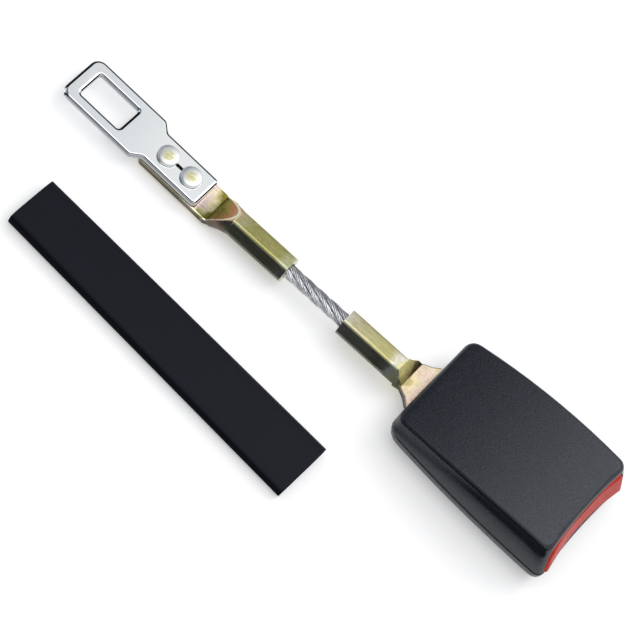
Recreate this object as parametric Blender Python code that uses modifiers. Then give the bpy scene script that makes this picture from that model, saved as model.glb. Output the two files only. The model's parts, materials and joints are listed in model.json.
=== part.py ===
"""Seat belt extender: chromed tongue, short wire rope in two pressed tube terminals and a push button buckle.

Run with: blender --background --python part.py
The origin is the middle of the buckle's flat underside, +X points out of the buckle's mouth, +Z is up.
"""
import math

import bmesh
import bpy
from mathutils import Matrix, Vector

MM = 0.001

# Clearances
TOUCH_GAP = 0.25 * MM  # between stacked plates and their rivets
RUN_GAP = 0.4 * MM  # between pieces that move past each other
BORE_GAP = 0.2 * MM  # round a pin or rivet in its hole, on the radius

# Buckle mouldings
BUCKLE_LENGTH = 71.5 * MM
REAR_HALF_WIDTH = 24.4 * MM
FRONT_HALF_WIDTH = 26.3 * MM
SIDE_BULGE = 1.4 * MM
REAR_HEIGHT = 18.5 * MM
FRONT_HEIGHT = 26.1 * MM
CROWN = 2.1 * MM
PARTING_HEIGHT = 11.0 * MM
PARTING_GAP = 0.5 * MM
WALL = 2.2 * MM
REAR_CORNER_RADIUS = 4.2 * MM
FRONT_CORNER_RADIUS = 3.2 * MM
LOWER_CORNER_RADIUS = 6.5 * MM  # rear corners of the lower moulding, in plan
LEAST_CORNER_RADIUS = 1.2 * MM
FRONT_LEAN = 0.29  # forward reach of the front face for each unit of drop
FRONT_SAG = 1.1 * MM
TOP_EDGE_RADIUS = 1.8 * MM
SHOULDER_DROP = 5.6 * MM  # height of the steep band under the top face
SHOULDER_INSET = 1.0 * MM
FLANK_REAR_INSET = 0.6 * MM
FLANK_FRONT_INSET = 1.3 * MM
UNDERSIDE_INSET = 6.5 * MM
UNDERSIDE_END_INSET = 3.0 * MM
RIM_HEIGHT = 1.2 * MM

# Tongue
TONGUE_LENGTH = 64.1 * MM
TONGUE_WIDTH = 21.5 * MM
SHANK_WIDTH = 14.8 * MM
TONGUE_THICKNESS = 2.8 * MM
TIP_BAR = 5.6 * MM
WINDOW_LENGTH = 19.4 * MM
WINDOW_WIDTH = 11.6 * MM
WINDOW_CORNER_RADIUS = 1.2 * MM
BLADE_LENGTH = 34.6 * MM
SHOULDER_LENGTH = 3.8 * MM
SHOULDER_RADIUS = 2.0 * MM
TIP_RADIUS = 4.0 * MM
SHANK_END_RADIUS = 1.6 * MM
TONGUE_EDGE_RADIUS = 0.45 * MM
RIVET_SLOT_WIDTH = 1.4 * MM
TIP_TO_BUCKLE = 170.1 * MM  # from the tongue's tip to the buckle's rear end

# Rivets of the tongue
RIVET_PITCH = 11.4 * MM
RIVET_FROM_END = 8.0 * MM
RIVET_HEAD_DIAMETER = 8.6 * MM
RIVET_HEAD_HEIGHT = 2.0 * MM
RIVET_FLAT_DIAMETER = 5.4 * MM
RIVET_SHANK_DIAMETER = 5.0 * MM
RIVET_FOOT_DIAMETER = 7.4 * MM
RIVET_FOOT_HEIGHT = 1.0 * MM

# Tube terminals
TAB_THICKNESS = 3.2 * MM
TAB_LAP = 0.4 * MM  # how far the sleeve's step laps into the tab
TAB_SEAM_DEPTH = 0.8 * MM
TAB_SEAM_HEIGHT = 0.45 * MM
TAB_END_CHAMFER = 3.0 * MM
TAB_OVERHANG = 5.9 * MM  # flat tab that shows past the end of the tongue
TONGUE_TAB_COVER = 29.0 * MM  # tab that lies under the tongue
BUCKLE_TAB_WIDTH = 22.0 * MM
BUCKLE_TAB_LENGTH = 15.0 * MM
BUCKLE_TAB_TAPER = 6.0 * MM
BUCKLE_TAB_NECK = 14.0 * MM
TAPER_WAIST = 0.46  # share of the taper at which its sides curve in
BUCKLE_TAB_SHOWN = 0.7 * MM  # full width tab behind the buckle
SLEEVE_FLATS = 10.6 * MM
SLEEVE_LENGTH = 25.8 * MM
SLEEVE_EDGE_RADIUS = 0.7 * MM
TONGUE_FLARE = 9.3 * MM
TONGUE_SCOOP = 8.5 * MM
BUCKLE_FLARE = 5.0 * MM
BUCKLE_SCOOP = 4.6 * MM
AXIS_RISE = 3.2 * MM  # axis of the rope above the middle of each tab

# Wire rope
ROPE_LINE_Y = -3.2 * MM  # the rope and the tongue lie this far beside the buckle's middle
STRAND_COUNT = 6
STRAND_DIAMETER = 1.8 * MM
STRAND_CIRCLE_RADIUS = 2.02 * MM
CORE_DIAMETER = 2.0 * MM
ROPE_LAY = 38.0 * MM
ROPE_GRIP = 14.0 * MM  # rope inside each sleeve
ROPE_BORE_GAP = 0.3 * MM
STRAND_POINTS_PER_TURN = 18

# Frame inside the buckle
FLOOR_GAP = 0.3 * MM
FRAME_THICKNESS = 2.2 * MM
FRAME_HALF_WIDTH = 15.2 * MM
FRAME_WALL_TOP = 14.4 * MM
FRAME_FRONT_GAP = 2.0 * MM  # from the frame's front end to the front edge of the top face
GUIDE_LENGTH = 15.0 * MM
GUIDE_SLOPE = 3.0 * MM
GUIDE_WALL_TOP = 9.4 * MM
SLOT_HEIGHT = 4.6 * MM
SLOT_SIDE_GAP = 1.3 * MM

# Latch, its pins and its spring
HINGE_FROM_TAB = 2.7 * MM
HINGE_Z = 11.4 * MM
HINGE_PIN_DIAMETER = 3.0 * MM
BARREL_WALL = 1.4 * MM
BARREL_INNER_Y = 6.0 * MM
LATCH_THICKNESS = 2.4 * MM
LATCH_HALF_WIDTH = 9.0 * MM
LATCH_NOSE = 1.2 * MM  # plate in front of the pawl
PAWL_REACH = 17.3 * MM  # from the hinge to the back of the pawl
PAWL_LENGTH = 3.6 * MM
PAWL_SIDE_GAP = 0.5 * MM
PAWL_TIP_Z = 3.2 * MM
LIFT_ARM = 12.0 * MM  # from the hinge to the lift pin
LIFT_PIN_DIAMETER = 2.6 * MM
LATCH_LIFT_DEG = 15.5
LATCH_SPRING_WIRE = 0.6 * MM
LATCH_SPRING_GAP = 0.3 * MM
LATCH_SPRING_TURNS = 5
COIL_POINTS_PER_TURN = 10  # of every spring

# Button
BUTTON_TRAVEL = 5.5 * MM
BUTTON_GAP = 0.5 * MM
BUTTON_TOP_GAP = 0.7 * MM
BUTTON_DEPTH = 9.0 * MM
BUTTON_PROUD = 0.7 * MM
BUTTON_DISH = 1.0 * MM
BUTTON_EDGE_RADIUS = 1.4 * MM
LEG_INNER_Y = 15.8 * MM
LEG_THICKNESS = 3.6 * MM
LEG_BOTTOM_Z = 3.6 * MM
LEG_SEAT_HEIGHT = 4.4 * MM
LEG_FOOT_LENGTH = 13.8 * MM
LEG_KNEE_LENGTH = 23.0 * MM
RAMP_GAP = 0.3 * MM
BUTTON_SPRING_DIAMETER = 3.6 * MM
BUTTON_SPRING_WIRE = 0.6 * MM
BUTTON_SPRING_LENGTH = 10.6 * MM
BUTTON_SPRING_TURNS = 6
SPRING_SEAT_GAP = 0.2 * MM
SPRING_POST_THICKNESS = 2.0 * MM

# Ejector
EJECTOR_LENGTH = 9.6 * MM
EJECTOR_HALF_WIDTH = 6.4 * MM
EJECTOR_TOP_Z = 7.8 * MM
EJECTOR_FRONT_WALL = 1.8 * MM
EJECTOR_KEEL_HALF_WIDTH = 3.0 * MM
EJECTOR_SPRING_DIAMETER = 3.4 * MM
EJECTOR_SPRING_WIRE = 0.5 * MM
EJECTOR_SPRING_TURNS = 8

# Rivets of the frame
FRAME_RIVET_SPACING = 11.0 * MM
FRAME_RIVET_HEAD_DIAMETER = 6.4 * MM
FRAME_RIVET_HEAD_HEIGHT = 1.5 * MM
FRAME_RIVET_SHANK_DIAMETER = 4.0 * MM

# Cover sleeve that lies beside the extender
COVER_LENGTH = 137.0 * MM
COVER_REAR_WIDTH = 22.6 * MM
COVER_FRONT_WIDTH = 25.4 * MM
COVER_REAR_HEIGHT = 6.8 * MM
COVER_FRONT_HEIGHT = 6.2 * MM
COVER_WALL = 0.8 * MM
COVER_REAR_X = -183.2 * MM
COVER_REAR_Y = -53.3 * MM
COVER_TURN_DEG = -1.5

# Colours, as linear red, green and blue
CHROME = (0.78, 0.80, 0.82)
RIVET_STEEL = (0.62, 0.60, 0.46)
YELLOW_ZINC = (0.52, 0.48, 0.24)
ROPE_STEEL = (0.46, 0.46, 0.48)
BLACK_PLASTIC = (0.035, 0.037, 0.042)
RED_PLASTIC = (0.58, 0.07, 0.05)
BLACK_SLEEVE = (0.018, 0.019, 0.021)
BARE_STEEL = (0.45, 0.45, 0.46)
GREY_NYLON = (0.55, 0.55, 0.53)

# Places worked out from the sizes above
BUCKLE_REAR_X = -BUCKLE_LENGTH / 2
TOP_FRONT_X = BUCKLE_LENGTH / 2
PARTING_FRONT_X = TOP_FRONT_X + FRONT_LEAN * (FRONT_HEIGHT - PARTING_HEIGHT)
TIP_X = BUCKLE_REAR_X - TIP_TO_BUCKLE
TONGUE_END_X = TIP_X + TONGUE_LENGTH
TONGUE_TAB_BOTTOM = RIVET_FOOT_HEIGHT + TOUCH_GAP
TONGUE_BOTTOM = TONGUE_TAB_BOTTOM + TAB_THICKNESS + TOUCH_GAP
TONGUE_TOP = TONGUE_BOTTOM + TONGUE_THICKNESS
REAR_RIVET_X = TONGUE_END_X - RIVET_FROM_END
FRONT_RIVET_X = REAR_RIVET_X - RIVET_PITCH
FRAME_FRONT_X = TOP_FRONT_X - FRAME_FRONT_GAP
FRAME_WALL_FRONT_X = FRAME_FRONT_X - GUIDE_LENGTH
FRAME_BOTTOM = WALL + FLOOR_GAP
FRAME_TOP = FRAME_BOTTOM + FRAME_THICKNESS
FRAME_INNER_Y = FRAME_HALF_WIDTH - FRAME_THICKNESS
BUCKLE_TAB_BOTTOM = FRAME_TOP + TOUCH_GAP
BUCKLE_TAB_TOP = BUCKLE_TAB_BOTTOM + TAB_THICKNESS
BUCKLE_TAB_WIDE_X = BUCKLE_REAR_X - BUCKLE_TAB_SHOWN
BUCKLE_TAB_END_X = BUCKLE_TAB_WIDE_X + BUCKLE_TAB_LENGTH
BUCKLE_BEND_X = BUCKLE_TAB_WIDE_X - BUCKLE_TAB_TAPER
TONGUE_BEND_X = TONGUE_END_X + TAB_OVERHANG
SLEEVE_1_X = TONGUE_BEND_X + TONGUE_FLARE
SLEEVE_2_X = BUCKLE_BEND_X - BUCKLE_FLARE
AXIS_START = Vector((SLEEVE_1_X, 0.0, TONGUE_TAB_BOTTOM + TAB_THICKNESS / 2 + AXIS_RISE))
AXIS_END = Vector((SLEEVE_2_X, 0.0, BUCKLE_TAB_BOTTOM + TAB_THICKNESS / 2 + AXIS_RISE))
AXIS = (AXIS_END - AXIS_START).normalized()
ROPE_RADIUS = STRAND_CIRCLE_RADIUS + STRAND_DIAMETER / 2
ROPE_BORE_RADIUS = ROPE_RADIUS + ROPE_BORE_GAP
FRAME_RIVET_X = BUCKLE_TAB_END_X - FRAME_RIVET_HEAD_DIAMETER / 2 - RUN_GAP
SLOT_BOTTOM = FRAME_TOP + RUN_GAP / 2
SLOT_HALF_WIDTH = TONGUE_WIDTH / 2 + SLOT_SIDE_GAP
BUTTON_BOTTOM = PARTING_HEIGHT + PARTING_GAP / 2 + BUTTON_GAP
BUTTON_REAR_X = TOP_FRONT_X - BUTTON_DEPTH
LEG_OUTER_Y = LEG_INNER_Y + LEG_THICKNESS
LEG_MIDDLE_Y = LEG_INNER_Y + LEG_THICKNESS / 2
HINGE_X = BUCKLE_TAB_END_X + HINGE_FROM_TAB
LIFT_PIN_X = HINGE_X + LIFT_ARM
PAWL_REAR_X = HINGE_X + PAWL_REACH
LATCH_BOTTOM = HINGE_Z - LATCH_THICKNESS / 2
LATCH_TOP = HINGE_Z + LATCH_THICKNESS / 2
PAWL_FRONT_X = PAWL_REAR_X + PAWL_LENGTH
PAWL_HALF_WIDTH = WINDOW_WIDTH / 2 - PAWL_SIDE_GAP
BARREL_RADIUS = HINGE_PIN_DIAMETER / 2 + BORE_GAP + BARREL_WALL
EJECTOR_FRONT_X = PAWL_REAR_X - RUN_GAP
EJECTOR_REAR_X = EJECTOR_FRONT_X - EJECTOR_LENGTH
EJECTOR_SPRING_Z = FRAME_TOP + RUN_GAP

model = bpy.data.collections.new("seat_belt_extender")
cutters = bpy.data.collections.new("cutters")


def material(name, colour, roughness, metallic):
    """One Principled BSDF for one sub-part."""
    made = bpy.data.materials.new(name)
    made.use_nodes = True
    shader = made.node_tree.nodes["Principled BSDF"]
    shader.inputs["Base Color"].default_value = (*colour, 1.0)
    shader.inputs["Roughness"].default_value = roughness
    shader.inputs["Metallic"].default_value = metallic
    made.diffuse_color = (*colour, 1.0)
    return made


def finish(obj, colour, roughness, metallic, smooth_deg=35.0):
    """Give a sub-part its material and shade its round faces smooth."""
    obj.data.materials.clear()
    obj.data.materials.append(material(obj.name, colour, roughness, metallic))
    if obj.type == "MESH":
        obj.data.shade_smooth()
        obj.data.set_sharp_from_angle(angle=math.radians(smooth_deg))
    return obj


def add_object(name, bm, collection=model):
    """Turn a bmesh into an object whose faces point out."""
    bmesh.ops.recalc_face_normals(bm, faces=bm.faces)
    mesh = bpy.data.meshes.new(name)
    bm.to_mesh(mesh)
    bm.free()
    obj = bpy.data.objects.new(name, mesh)
    collection.objects.link(obj)
    return obj


def add_cutter(name, bm):
    """A tool body for a Boolean, kept apart from the model."""
    obj = add_object(name, bm, cutters)
    obj.hide_render = True
    obj.display_type = "WIRE"
    return obj


def keep_modifiers(obj):
    """Replace a mesh with what its modifiers make of it."""
    bpy.context.view_layer.update()
    evaluated = obj.evaluated_get(bpy.context.evaluated_depsgraph_get())
    mesh = bpy.data.meshes.new_from_object(evaluated)
    mesh.name = obj.name
    obj.modifiers.clear()
    obj.data = mesh


def bevel(obj, width, segments=2, angle_deg=40.0):
    """Round the sharp edges of a body."""
    step = obj.modifiers.new("edges", "BEVEL")
    step.width = width
    step.segments = segments
    step.limit_method = "ANGLE"
    step.angle_limit = math.radians(angle_deg)
    keep_modifiers(obj)


def combine(obj, tool, operation):
    """Join a tool body to an object, or cut it out of the object."""
    step = obj.modifiers.new(tool.name, "BOOLEAN")
    step.operation = operation
    step.solver = "EXACT"
    step.object = tool
    keep_modifiers(obj)


def cut(obj, tool_name, bm):
    combine(obj, add_cutter(tool_name, bm), "DIFFERENCE")


def join(obj, tool_name, bm, edge_radius=0.0):
    tool = add_cutter(tool_name, bm)
    if edge_radius > 0:
        bevel(tool, edge_radius)
    combine(obj, tool, "UNION")


def box(low, high):
    """A box between two corners."""
    bm = bmesh.new()
    size = [high[i] - low[i] for i in range(3)]
    middle = [(high[i] + low[i]) / 2 for i in range(3)]
    place = Matrix.Translation(middle) @ Matrix.Diagonal((*size, 1.0))
    bmesh.ops.create_cube(bm, size=1.0, matrix=place)
    return bm


def bar(axis, centre, radius, low, high, segments=24):
    """A round bar along Y or Z; centre is (x, z) for Y and (x, y) for Z."""
    middle = (low + high) / 2
    places = {"Y": (centre[0], middle, centre[1]), "Z": (centre[0], centre[1], middle)}
    turns = {"Y": Matrix.Rotation(math.pi / 2, 4, "X"), "Z": Matrix.Identity(4)}
    bm = bmesh.new()
    bmesh.ops.create_cone(bm, cap_ends=True, segments=segments, radius1=radius, radius2=radius,
                          depth=high - low, matrix=Matrix.Translation(places[axis]) @ turns[axis])
    return bm


def prism(outline, axis, low, high):
    """Extrude a flat outline along an axis: (x, y) along Z, (x, z) along Y or (y, z) along X."""
    places = {"Z": lambda a, b: (a, b, low), "Y": lambda a, b: (a, low, b), "X": lambda a, b: (low, a, b)}
    shifts = {"Z": (0, 0, high - low), "Y": (0, high - low, 0), "X": (high - low, 0, 0)}
    bm = bmesh.new()
    face = bm.faces.new([bm.verts.new(places[axis](a, b)) for a, b in outline])
    made = bmesh.ops.extrude_face_region(bm, geom=[face])
    moved = [item for item in made["geom"] if isinstance(item, bmesh.types.BMVert)]
    bmesh.ops.translate(bm, verts=moved, vec=shifts[axis])
    return bm


def rounded(corners, steps=5):
    """An outline whose corners (a, b, radius) are rounded by arcs."""
    points = []
    for i, (a, b, radius) in enumerate(corners):
        here = Vector((a, b))
        if radius <= 0:
            points.append((a, b))
            continue
        back = (Vector(corners[i - 1][:2]) - here).normalized()
        ahead = (Vector(corners[(i + 1) % len(corners)][:2]) - here).normalized()
        half_angle = back.angle(ahead) / 2
        centre = here + (back + ahead).normalized() * (radius / math.sin(half_angle))
        start = here + back * (radius / math.tan(half_angle)) - centre
        end = here + ahead * (radius / math.tan(half_angle)) - centre
        for k in range(steps + 1):
            share = k / steps
            spoke = (start * (1 - share) + end * share).normalized() * radius
            points.append(tuple(centre + spoke))
    return points


def mirrored(half):
    """Complete an outline that is given on its +Y side, from one end to the other."""
    return half + [(a, -b) for a, b in reversed(half)]


def skin(rings, crowned_top=False):
    """Skin a row of rings with as many points each; a crowned top is closed by strips across the ring."""
    bm = bmesh.new()
    rows = [[bm.verts.new(point) for point in ring] for ring in rings]
    count = len(rows[0])
    for lower, upper in zip(rows, rows[1:]):
        for i in range(count):
            j = (i + 1) % count
            bm.faces.new((lower[i], lower[j], upper[j], upper[i]))
    bm.faces.new(rows[0])
    if not crowned_top:
        bm.faces.new(rows[-1])
        return bm
    top = rows[-1]
    for i in range(count // 2 - 1):
        bm.faces.new((top[i], top[i + 1], top[count - 2 - i], top[count - 1 - i]))
    return bm


def turned(name, profile, centre, steps=20):
    """A turned piece: its profile (radius, height) runs from the top of the axis down to its foot."""
    mesh = bpy.data.meshes.new(name)
    points = [(radius, 0.0, height) for radius, height in profile]
    mesh.from_pydata(points, [(i, i + 1) for i in range(len(points) - 1)], [])
    obj = bpy.data.objects.new(name, mesh)
    model.objects.link(obj)
    obj.location = centre
    spin = obj.modifiers.new("turn", "SCREW")
    spin.steps = steps
    spin.render_steps = steps
    spin.use_merge_vertices = True
    spin.merge_threshold = 0.001 * MM
    keep_modifiers(obj)
    return obj


def wire(name, points, diameter, resolution=2):
    """A round wire through a close row of points."""
    curve = bpy.data.curves.new(name, "CURVE")
    curve.dimensions = "3D"
    curve.bevel_depth = diameter / 2
    curve.bevel_resolution = resolution
    curve.use_fill_caps = True
    spline = curve.splines.new("POLY")
    spline.points.add(len(points) - 1)
    for spot, place in zip(spline.points, points):
        spot.co = (*place, 1.0)
    obj = bpy.data.objects.new(name, curve)
    model.objects.link(obj)
    return obj


def coil(start, axis, length, radius, turns):
    """Points of a coil spring along an axis."""
    across = axis.orthogonal().normalized()
    upward = axis.cross(across)
    count = turns * COIL_POINTS_PER_TURN
    points = []
    for k in range(count + 1):
        turn = 2 * math.pi * turns * k / count
        spoke = across * math.cos(turn) + upward * math.sin(turn)
        points.append(start + axis * (length * k / count) + spoke * radius)
    return points


def hang(obj, parent):
    """Carry a piece on another one, or on an empty, without moving it."""
    bpy.context.view_layer.update()
    obj.parent = parent
    obj.matrix_parent_inverse = parent.matrix_world.inverted()


def beside(obj):
    """Shift a piece of the tongue's side from the buckle's middle onto the rope's line."""
    obj.location.y += ROPE_LINE_Y
    return obj


def joint_empty(name, place):
    """An empty on a joint's axis, which carries the pieces that move on it."""
    empty = bpy.data.objects.new(name, None)
    model.objects.link(empty)
    empty.location = place
    return empty


def side_share(x):
    """Share of the way along the buckle at its parting line, 0 at the rear and 1 at the front."""
    return (x - BUCKLE_REAR_X) / (PARTING_FRONT_X - BUCKLE_REAR_X)


def half_width(x):
    """Half width of the buckle at its parting line."""
    t = side_share(x)
    return REAR_HALF_WIDTH + (FRONT_HALF_WIDTH - REAR_HALF_WIDTH) * t + 4 * SIDE_BULGE * t * (1 - t)


def top_height(x):
    """Height of the buckle's arched top face."""
    t = (min(x, TOP_FRONT_X) - BUCKLE_REAR_X) / BUCKLE_LENGTH
    return REAR_HEIGHT + (FRONT_HEIGHT - REAR_HEIGHT) * t + 4 * CROWN * t * (1 - t)


def flank_inset(x):
    """How far the shoulder stands in from the parting line."""
    return FLANK_REAR_INSET + (FLANK_FRONT_INSET - FLANK_REAR_INSET) * side_share(x)


def lean(x, z):
    """Reach forward of the leaning front, which fades out towards the middle of the buckle."""
    return x + FRONT_LEAN * (FRONT_HEIGHT - z) * max(0.0, min(1.0, x / TOP_FRONT_X))


def plan(side_inset, end_inset, front_x, corner_radii, sag, side_steps=9, arc_steps=4, edge_steps=4):
    """Plan outline of a buckle moulding; side_inset is a function of x, the radii are (rear, front)."""
    rear_x = BUCKLE_REAR_X + end_inset
    rear_radius = max(corner_radii[0] - end_inset, LEAST_CORNER_RADIUS)
    front_radius = corner_radii[1]
    first_x = rear_x + rear_radius
    last_x = front_x - front_radius
    half = []
    for k in range(arc_steps):
        turn = math.pi / 2 * k / arc_steps
        y = half_width(first_x) - side_inset(first_x) - rear_radius * (1 - math.sin(turn))
        half.append((first_x - rear_radius * math.cos(turn), y))
    for k in range(side_steps + 1):
        x = first_x + (last_x - first_x) * k / side_steps
        half.append((x, half_width(x) - side_inset(x)))
    corner_y = half[-1][1] - front_radius
    for k in range(1, arc_steps + 1):
        turn = math.pi / 2 * k / arc_steps
        half.append((last_x + front_radius * math.sin(turn), corner_y + front_radius * math.cos(turn)))
    for k in range(1, edge_steps + 1):
        share = 1 - 2 * k / (2 * edge_steps + 1)
        half.append((front_x - sag * (1 - share ** 2), corner_y * share))
    return mirrored(half)


def upper_form(wall, top_gap, foot_z, front_x, front_radius, edge_radius, sag):
    """Solid form of the upper moulding, drawn in by a wall: flanks, a steep band and an arched top."""
    edge = min(edge_radius, 0.6 * (SHOULDER_DROP - top_gap))
    band_foot = 0.3 * (SHOULDER_DROP - top_gap - edge)
    shoulder_inset = 0.6 * SHOULDER_INSET
    levels = [
        (lambda x: foot_z, 0.0, 0.0, 0.0),
        (lambda x: foot_z + 0.5 * (top_height(x) - SHOULDER_DROP - foot_z), 0.4, 0.0, 0.0),
        (lambda x: top_height(x) - SHOULDER_DROP, 1.0, 0.0, 0.0),
        (lambda x: top_height(x) - SHOULDER_DROP + band_foot, 1.0, shoulder_inset, 0.0),
    ]
    for k in range(4):
        turn = math.pi / 2 * k / 3
        drop = top_gap + edge * (1 - math.sin(turn))
        inset = edge * (1 - math.cos(turn))
        levels.append((lambda x, drop=drop: top_height(x) - drop, 1.0, SHOULDER_INSET + inset, inset))
    rings = []
    for height, flank_share, side, end in levels:
        outline = plan(lambda x: wall + flank_share * flank_inset(x) + side, wall + end,
                       front_x - end, (REAR_CORNER_RADIUS, front_radius), sag)
        rings.append([(lean(x, height(x)), y, height(x)) for x, y in outline])
    return skin(rings, crowned_top=True)


def tub_share(z):
    """Share of the underside's inset at a height: 1 at the floor, 0 under the rim."""
    return max(0.0, 1 - z / (PARTING_HEIGHT - RIM_HEIGHT)) ** 2


def lower_form(wall, floor_z, top_z, sag):
    """Solid form of the lower moulding, drawn in by a wall: a tub with rounded sides and a flat floor."""
    rim_z = PARTING_HEIGHT - RIM_HEIGHT
    heights = [floor_z + (rim_z - floor_z) * k / 4 for k in range(5)] + [top_z]
    corner_radii = (LOWER_CORNER_RADIUS, FRONT_CORNER_RADIUS)
    rings = []
    for z in heights:
        side = wall + UNDERSIDE_INSET * tub_share(z)
        end = wall + UNDERSIDE_END_INSET * tub_share(z)
        outline = plan(lambda x: side, end, TOP_FRONT_X - end, corner_radii, sag)
        rings.append([(lean(x, PARTING_HEIGHT), y, z) for x, y in outline])
    return skin(rings)


def upper_cover():
    """Top moulding of the buckle, open below and in front."""
    foot_z = PARTING_HEIGHT + PARTING_GAP / 2
    obj = add_object("upper_cover", upper_form(0.0, 0.0, foot_z, TOP_FRONT_X, FRONT_CORNER_RADIUS,
                                               TOP_EDGE_RADIUS, FRONT_SAG))
    past_front = TOP_FRONT_X + 3 * WALL
    cut(obj, "upper_cavity", upper_form(WALL, WALL, foot_z - WALL, past_front, FRONT_CORNER_RADIUS,
                                        TOP_EDGE_RADIUS, 0.0))
    return finish(obj, BLACK_PLASTIC, 0.45, 0.0)


def lower_cover():
    """Bottom moulding of the buckle, with the tongue's slot in front and the tab's slot behind."""
    top_z = PARTING_HEIGHT - PARTING_GAP / 2
    obj = add_object("lower_cover", lower_form(0.0, 0.0, top_z, FRONT_SAG))
    cut(obj, "lower_cavity", lower_form(WALL, WALL, PARTING_HEIGHT, FRONT_SAG))
    cut(obj, "tongue_slot", box((TOP_FRONT_X - WALL, -SLOT_HALF_WIDTH, SLOT_BOTTOM),
                                (PARTING_FRONT_X + WALL, SLOT_HALF_WIDTH, SLOT_BOTTOM + SLOT_HEIGHT)))
    tab_reach = BUCKLE_TAB_WIDTH / 2 + 2 * RUN_GAP
    cut(obj, "tab_slot", box((BUCKLE_REAR_X - WALL, -tab_reach, BUCKLE_TAB_BOTTOM - RUN_GAP),
                             (BUCKLE_REAR_X + 2 * WALL, tab_reach, BUCKLE_TAB_TOP + RUN_GAP)))
    post_front = spring_post_front_x()
    for side in (-1, 1):
        y = sorted((side * LEG_INNER_Y, side * LEG_OUTER_Y))
        join(obj, "spring_post", box((post_front - SPRING_POST_THICKNESS, y[0], WALL / 2),
                                     (post_front, y[1], LEG_BOTTOM_Z + LEG_SEAT_HEIGHT)))
    return finish(obj, BLACK_PLASTIC, 0.45, 0.0)


def lift_path(share):
    """Centre of the lift pin when the latch has risen by a share of its lift, as (x, z)."""
    turn = math.radians(LATCH_LIFT_DEG) * share
    reach = LIFT_PIN_X - HINGE_X
    return HINGE_X + reach * math.cos(turn), HINGE_Z + reach * math.sin(turn)


def ramp_points(steps=4):
    """Ramp on a button leg that carries the lift pin up as the button travels back."""
    end_x, end_z = lift_path(1.0)
    slope = math.atan2(end_z - HINGE_Z, end_x + BUTTON_TRAVEL - LIFT_PIN_X)
    reach = LIFT_PIN_DIAMETER / 2 + RAMP_GAP
    points = []
    for k in range(steps + 1):
        x, z = lift_path(k / steps)
        points.append((x + BUTTON_TRAVEL * k / steps + reach * math.sin(slope), z - reach * math.cos(slope)))
    return points


def leg_rear_x():
    """Rear end of a button leg, just behind the lift pin."""
    return LIFT_PIN_X - LIFT_PIN_DIAMETER / 2 - RUN_GAP


def spring_post_front_x():
    """Front of the posts that the button's springs push against."""
    return leg_rear_x() - BUTTON_SPRING_LENGTH - 2 * SPRING_SEAT_GAP


def release_button():
    """Red button that fills the mouth of the upper moulding, with two legs that lift the latch."""
    obj = add_object("release_button", upper_form(WALL + BUTTON_GAP, WALL + BUTTON_TOP_GAP, BUTTON_BOTTOM,
                                                  TOP_FRONT_X + BUTTON_PROUD, BUTTON_EDGE_RADIUS,
                                                  BUTTON_EDGE_RADIUS, FRONT_SAG + BUTTON_DISH))
    reach = FRONT_HALF_WIDTH + SIDE_BULGE
    cut(obj, "button_back", box((2 * BUCKLE_REAR_X, -reach, 0.0), (BUTTON_REAR_X, reach, 2 * FRONT_HEIGHT)))
    ramp = ramp_points()
    rear_x = leg_rear_x()
    crest_x, crest_z = ramp[-1]
    seat_z = LEG_BOTTOM_Z + LEG_SEAT_HEIGHT
    shank_top = crest_z + LEG_THICKNESS
    root_x = BUTTON_REAR_X + BUTTON_DEPTH / 3
    outline = [(rear_x, LEG_BOTTOM_Z), (rear_x + LEG_FOOT_LENGTH, LEG_BOTTOM_Z),
               (rear_x + LEG_KNEE_LENGTH, BUTTON_BOTTOM - LEG_THICKNESS / 2),
               (root_x, BUTTON_BOTTOM), (root_x, shank_top), (crest_x + 2 * LEG_THICKNESS, shank_top)]
    outline += list(reversed(ramp)) + [(rear_x, seat_z)]
    for side in (-1, 1):
        y = sorted((side * LEG_INNER_Y, side * LEG_OUTER_Y))
        join(obj, "button_leg", prism(outline, "Y", y[0], y[1]))
    return finish(obj, RED_PLASTIC, 0.35, 0.0)


def tongue_plate():
    """Stamped tongue: a wide blade with the latch window, and a narrower shank for the rivets."""
    blade_end = TIP_X + BLADE_LENGTH
    wide = TONGUE_WIDTH / 2
    narrow = SHANK_WIDTH / 2
    side = [(TIP_X, wide, TIP_RADIUS), (blade_end, wide, SHOULDER_RADIUS),
            (blade_end + SHOULDER_LENGTH, narrow, SHOULDER_RADIUS), (TONGUE_END_X, narrow, SHANK_END_RADIUS)]
    outline = rounded(side + [(x, -y, radius) for x, y, radius in reversed(side)])
    obj = add_object("tongue_plate", prism(outline, "Z", TONGUE_BOTTOM, TONGUE_TOP))
    window_x = TIP_X + TIP_BAR
    window_y = WINDOW_WIDTH / 2
    corners = [(window_x, window_y), (window_x + WINDOW_LENGTH, window_y),
               (window_x + WINDOW_LENGTH, -window_y), (window_x, -window_y)]
    window = rounded([(x, y, WINDOW_CORNER_RADIUS) for x, y in corners], steps=3)
    low = TONGUE_BOTTOM - TONGUE_THICKNESS
    high = TONGUE_TOP + TONGUE_THICKNESS
    cut(obj, "window", prism(window, "Z", low, high))
    bevel(obj, TONGUE_EDGE_RADIUS)
    for x in (FRONT_RIVET_X, REAR_RIVET_X):
        cut(obj, "rivet_hole", bar("Z", (x, 0.0), RIVET_SHANK_DIAMETER / 2 + BORE_GAP, low, high))
    slot_y = RIVET_SLOT_WIDTH / 2
    cut(obj, "rivet_slot", box((FRONT_RIVET_X, -slot_y, low), (REAR_RIVET_X, slot_y, high)))
    return beside(finish(obj, CHROME, 0.08, 1.0))


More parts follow.
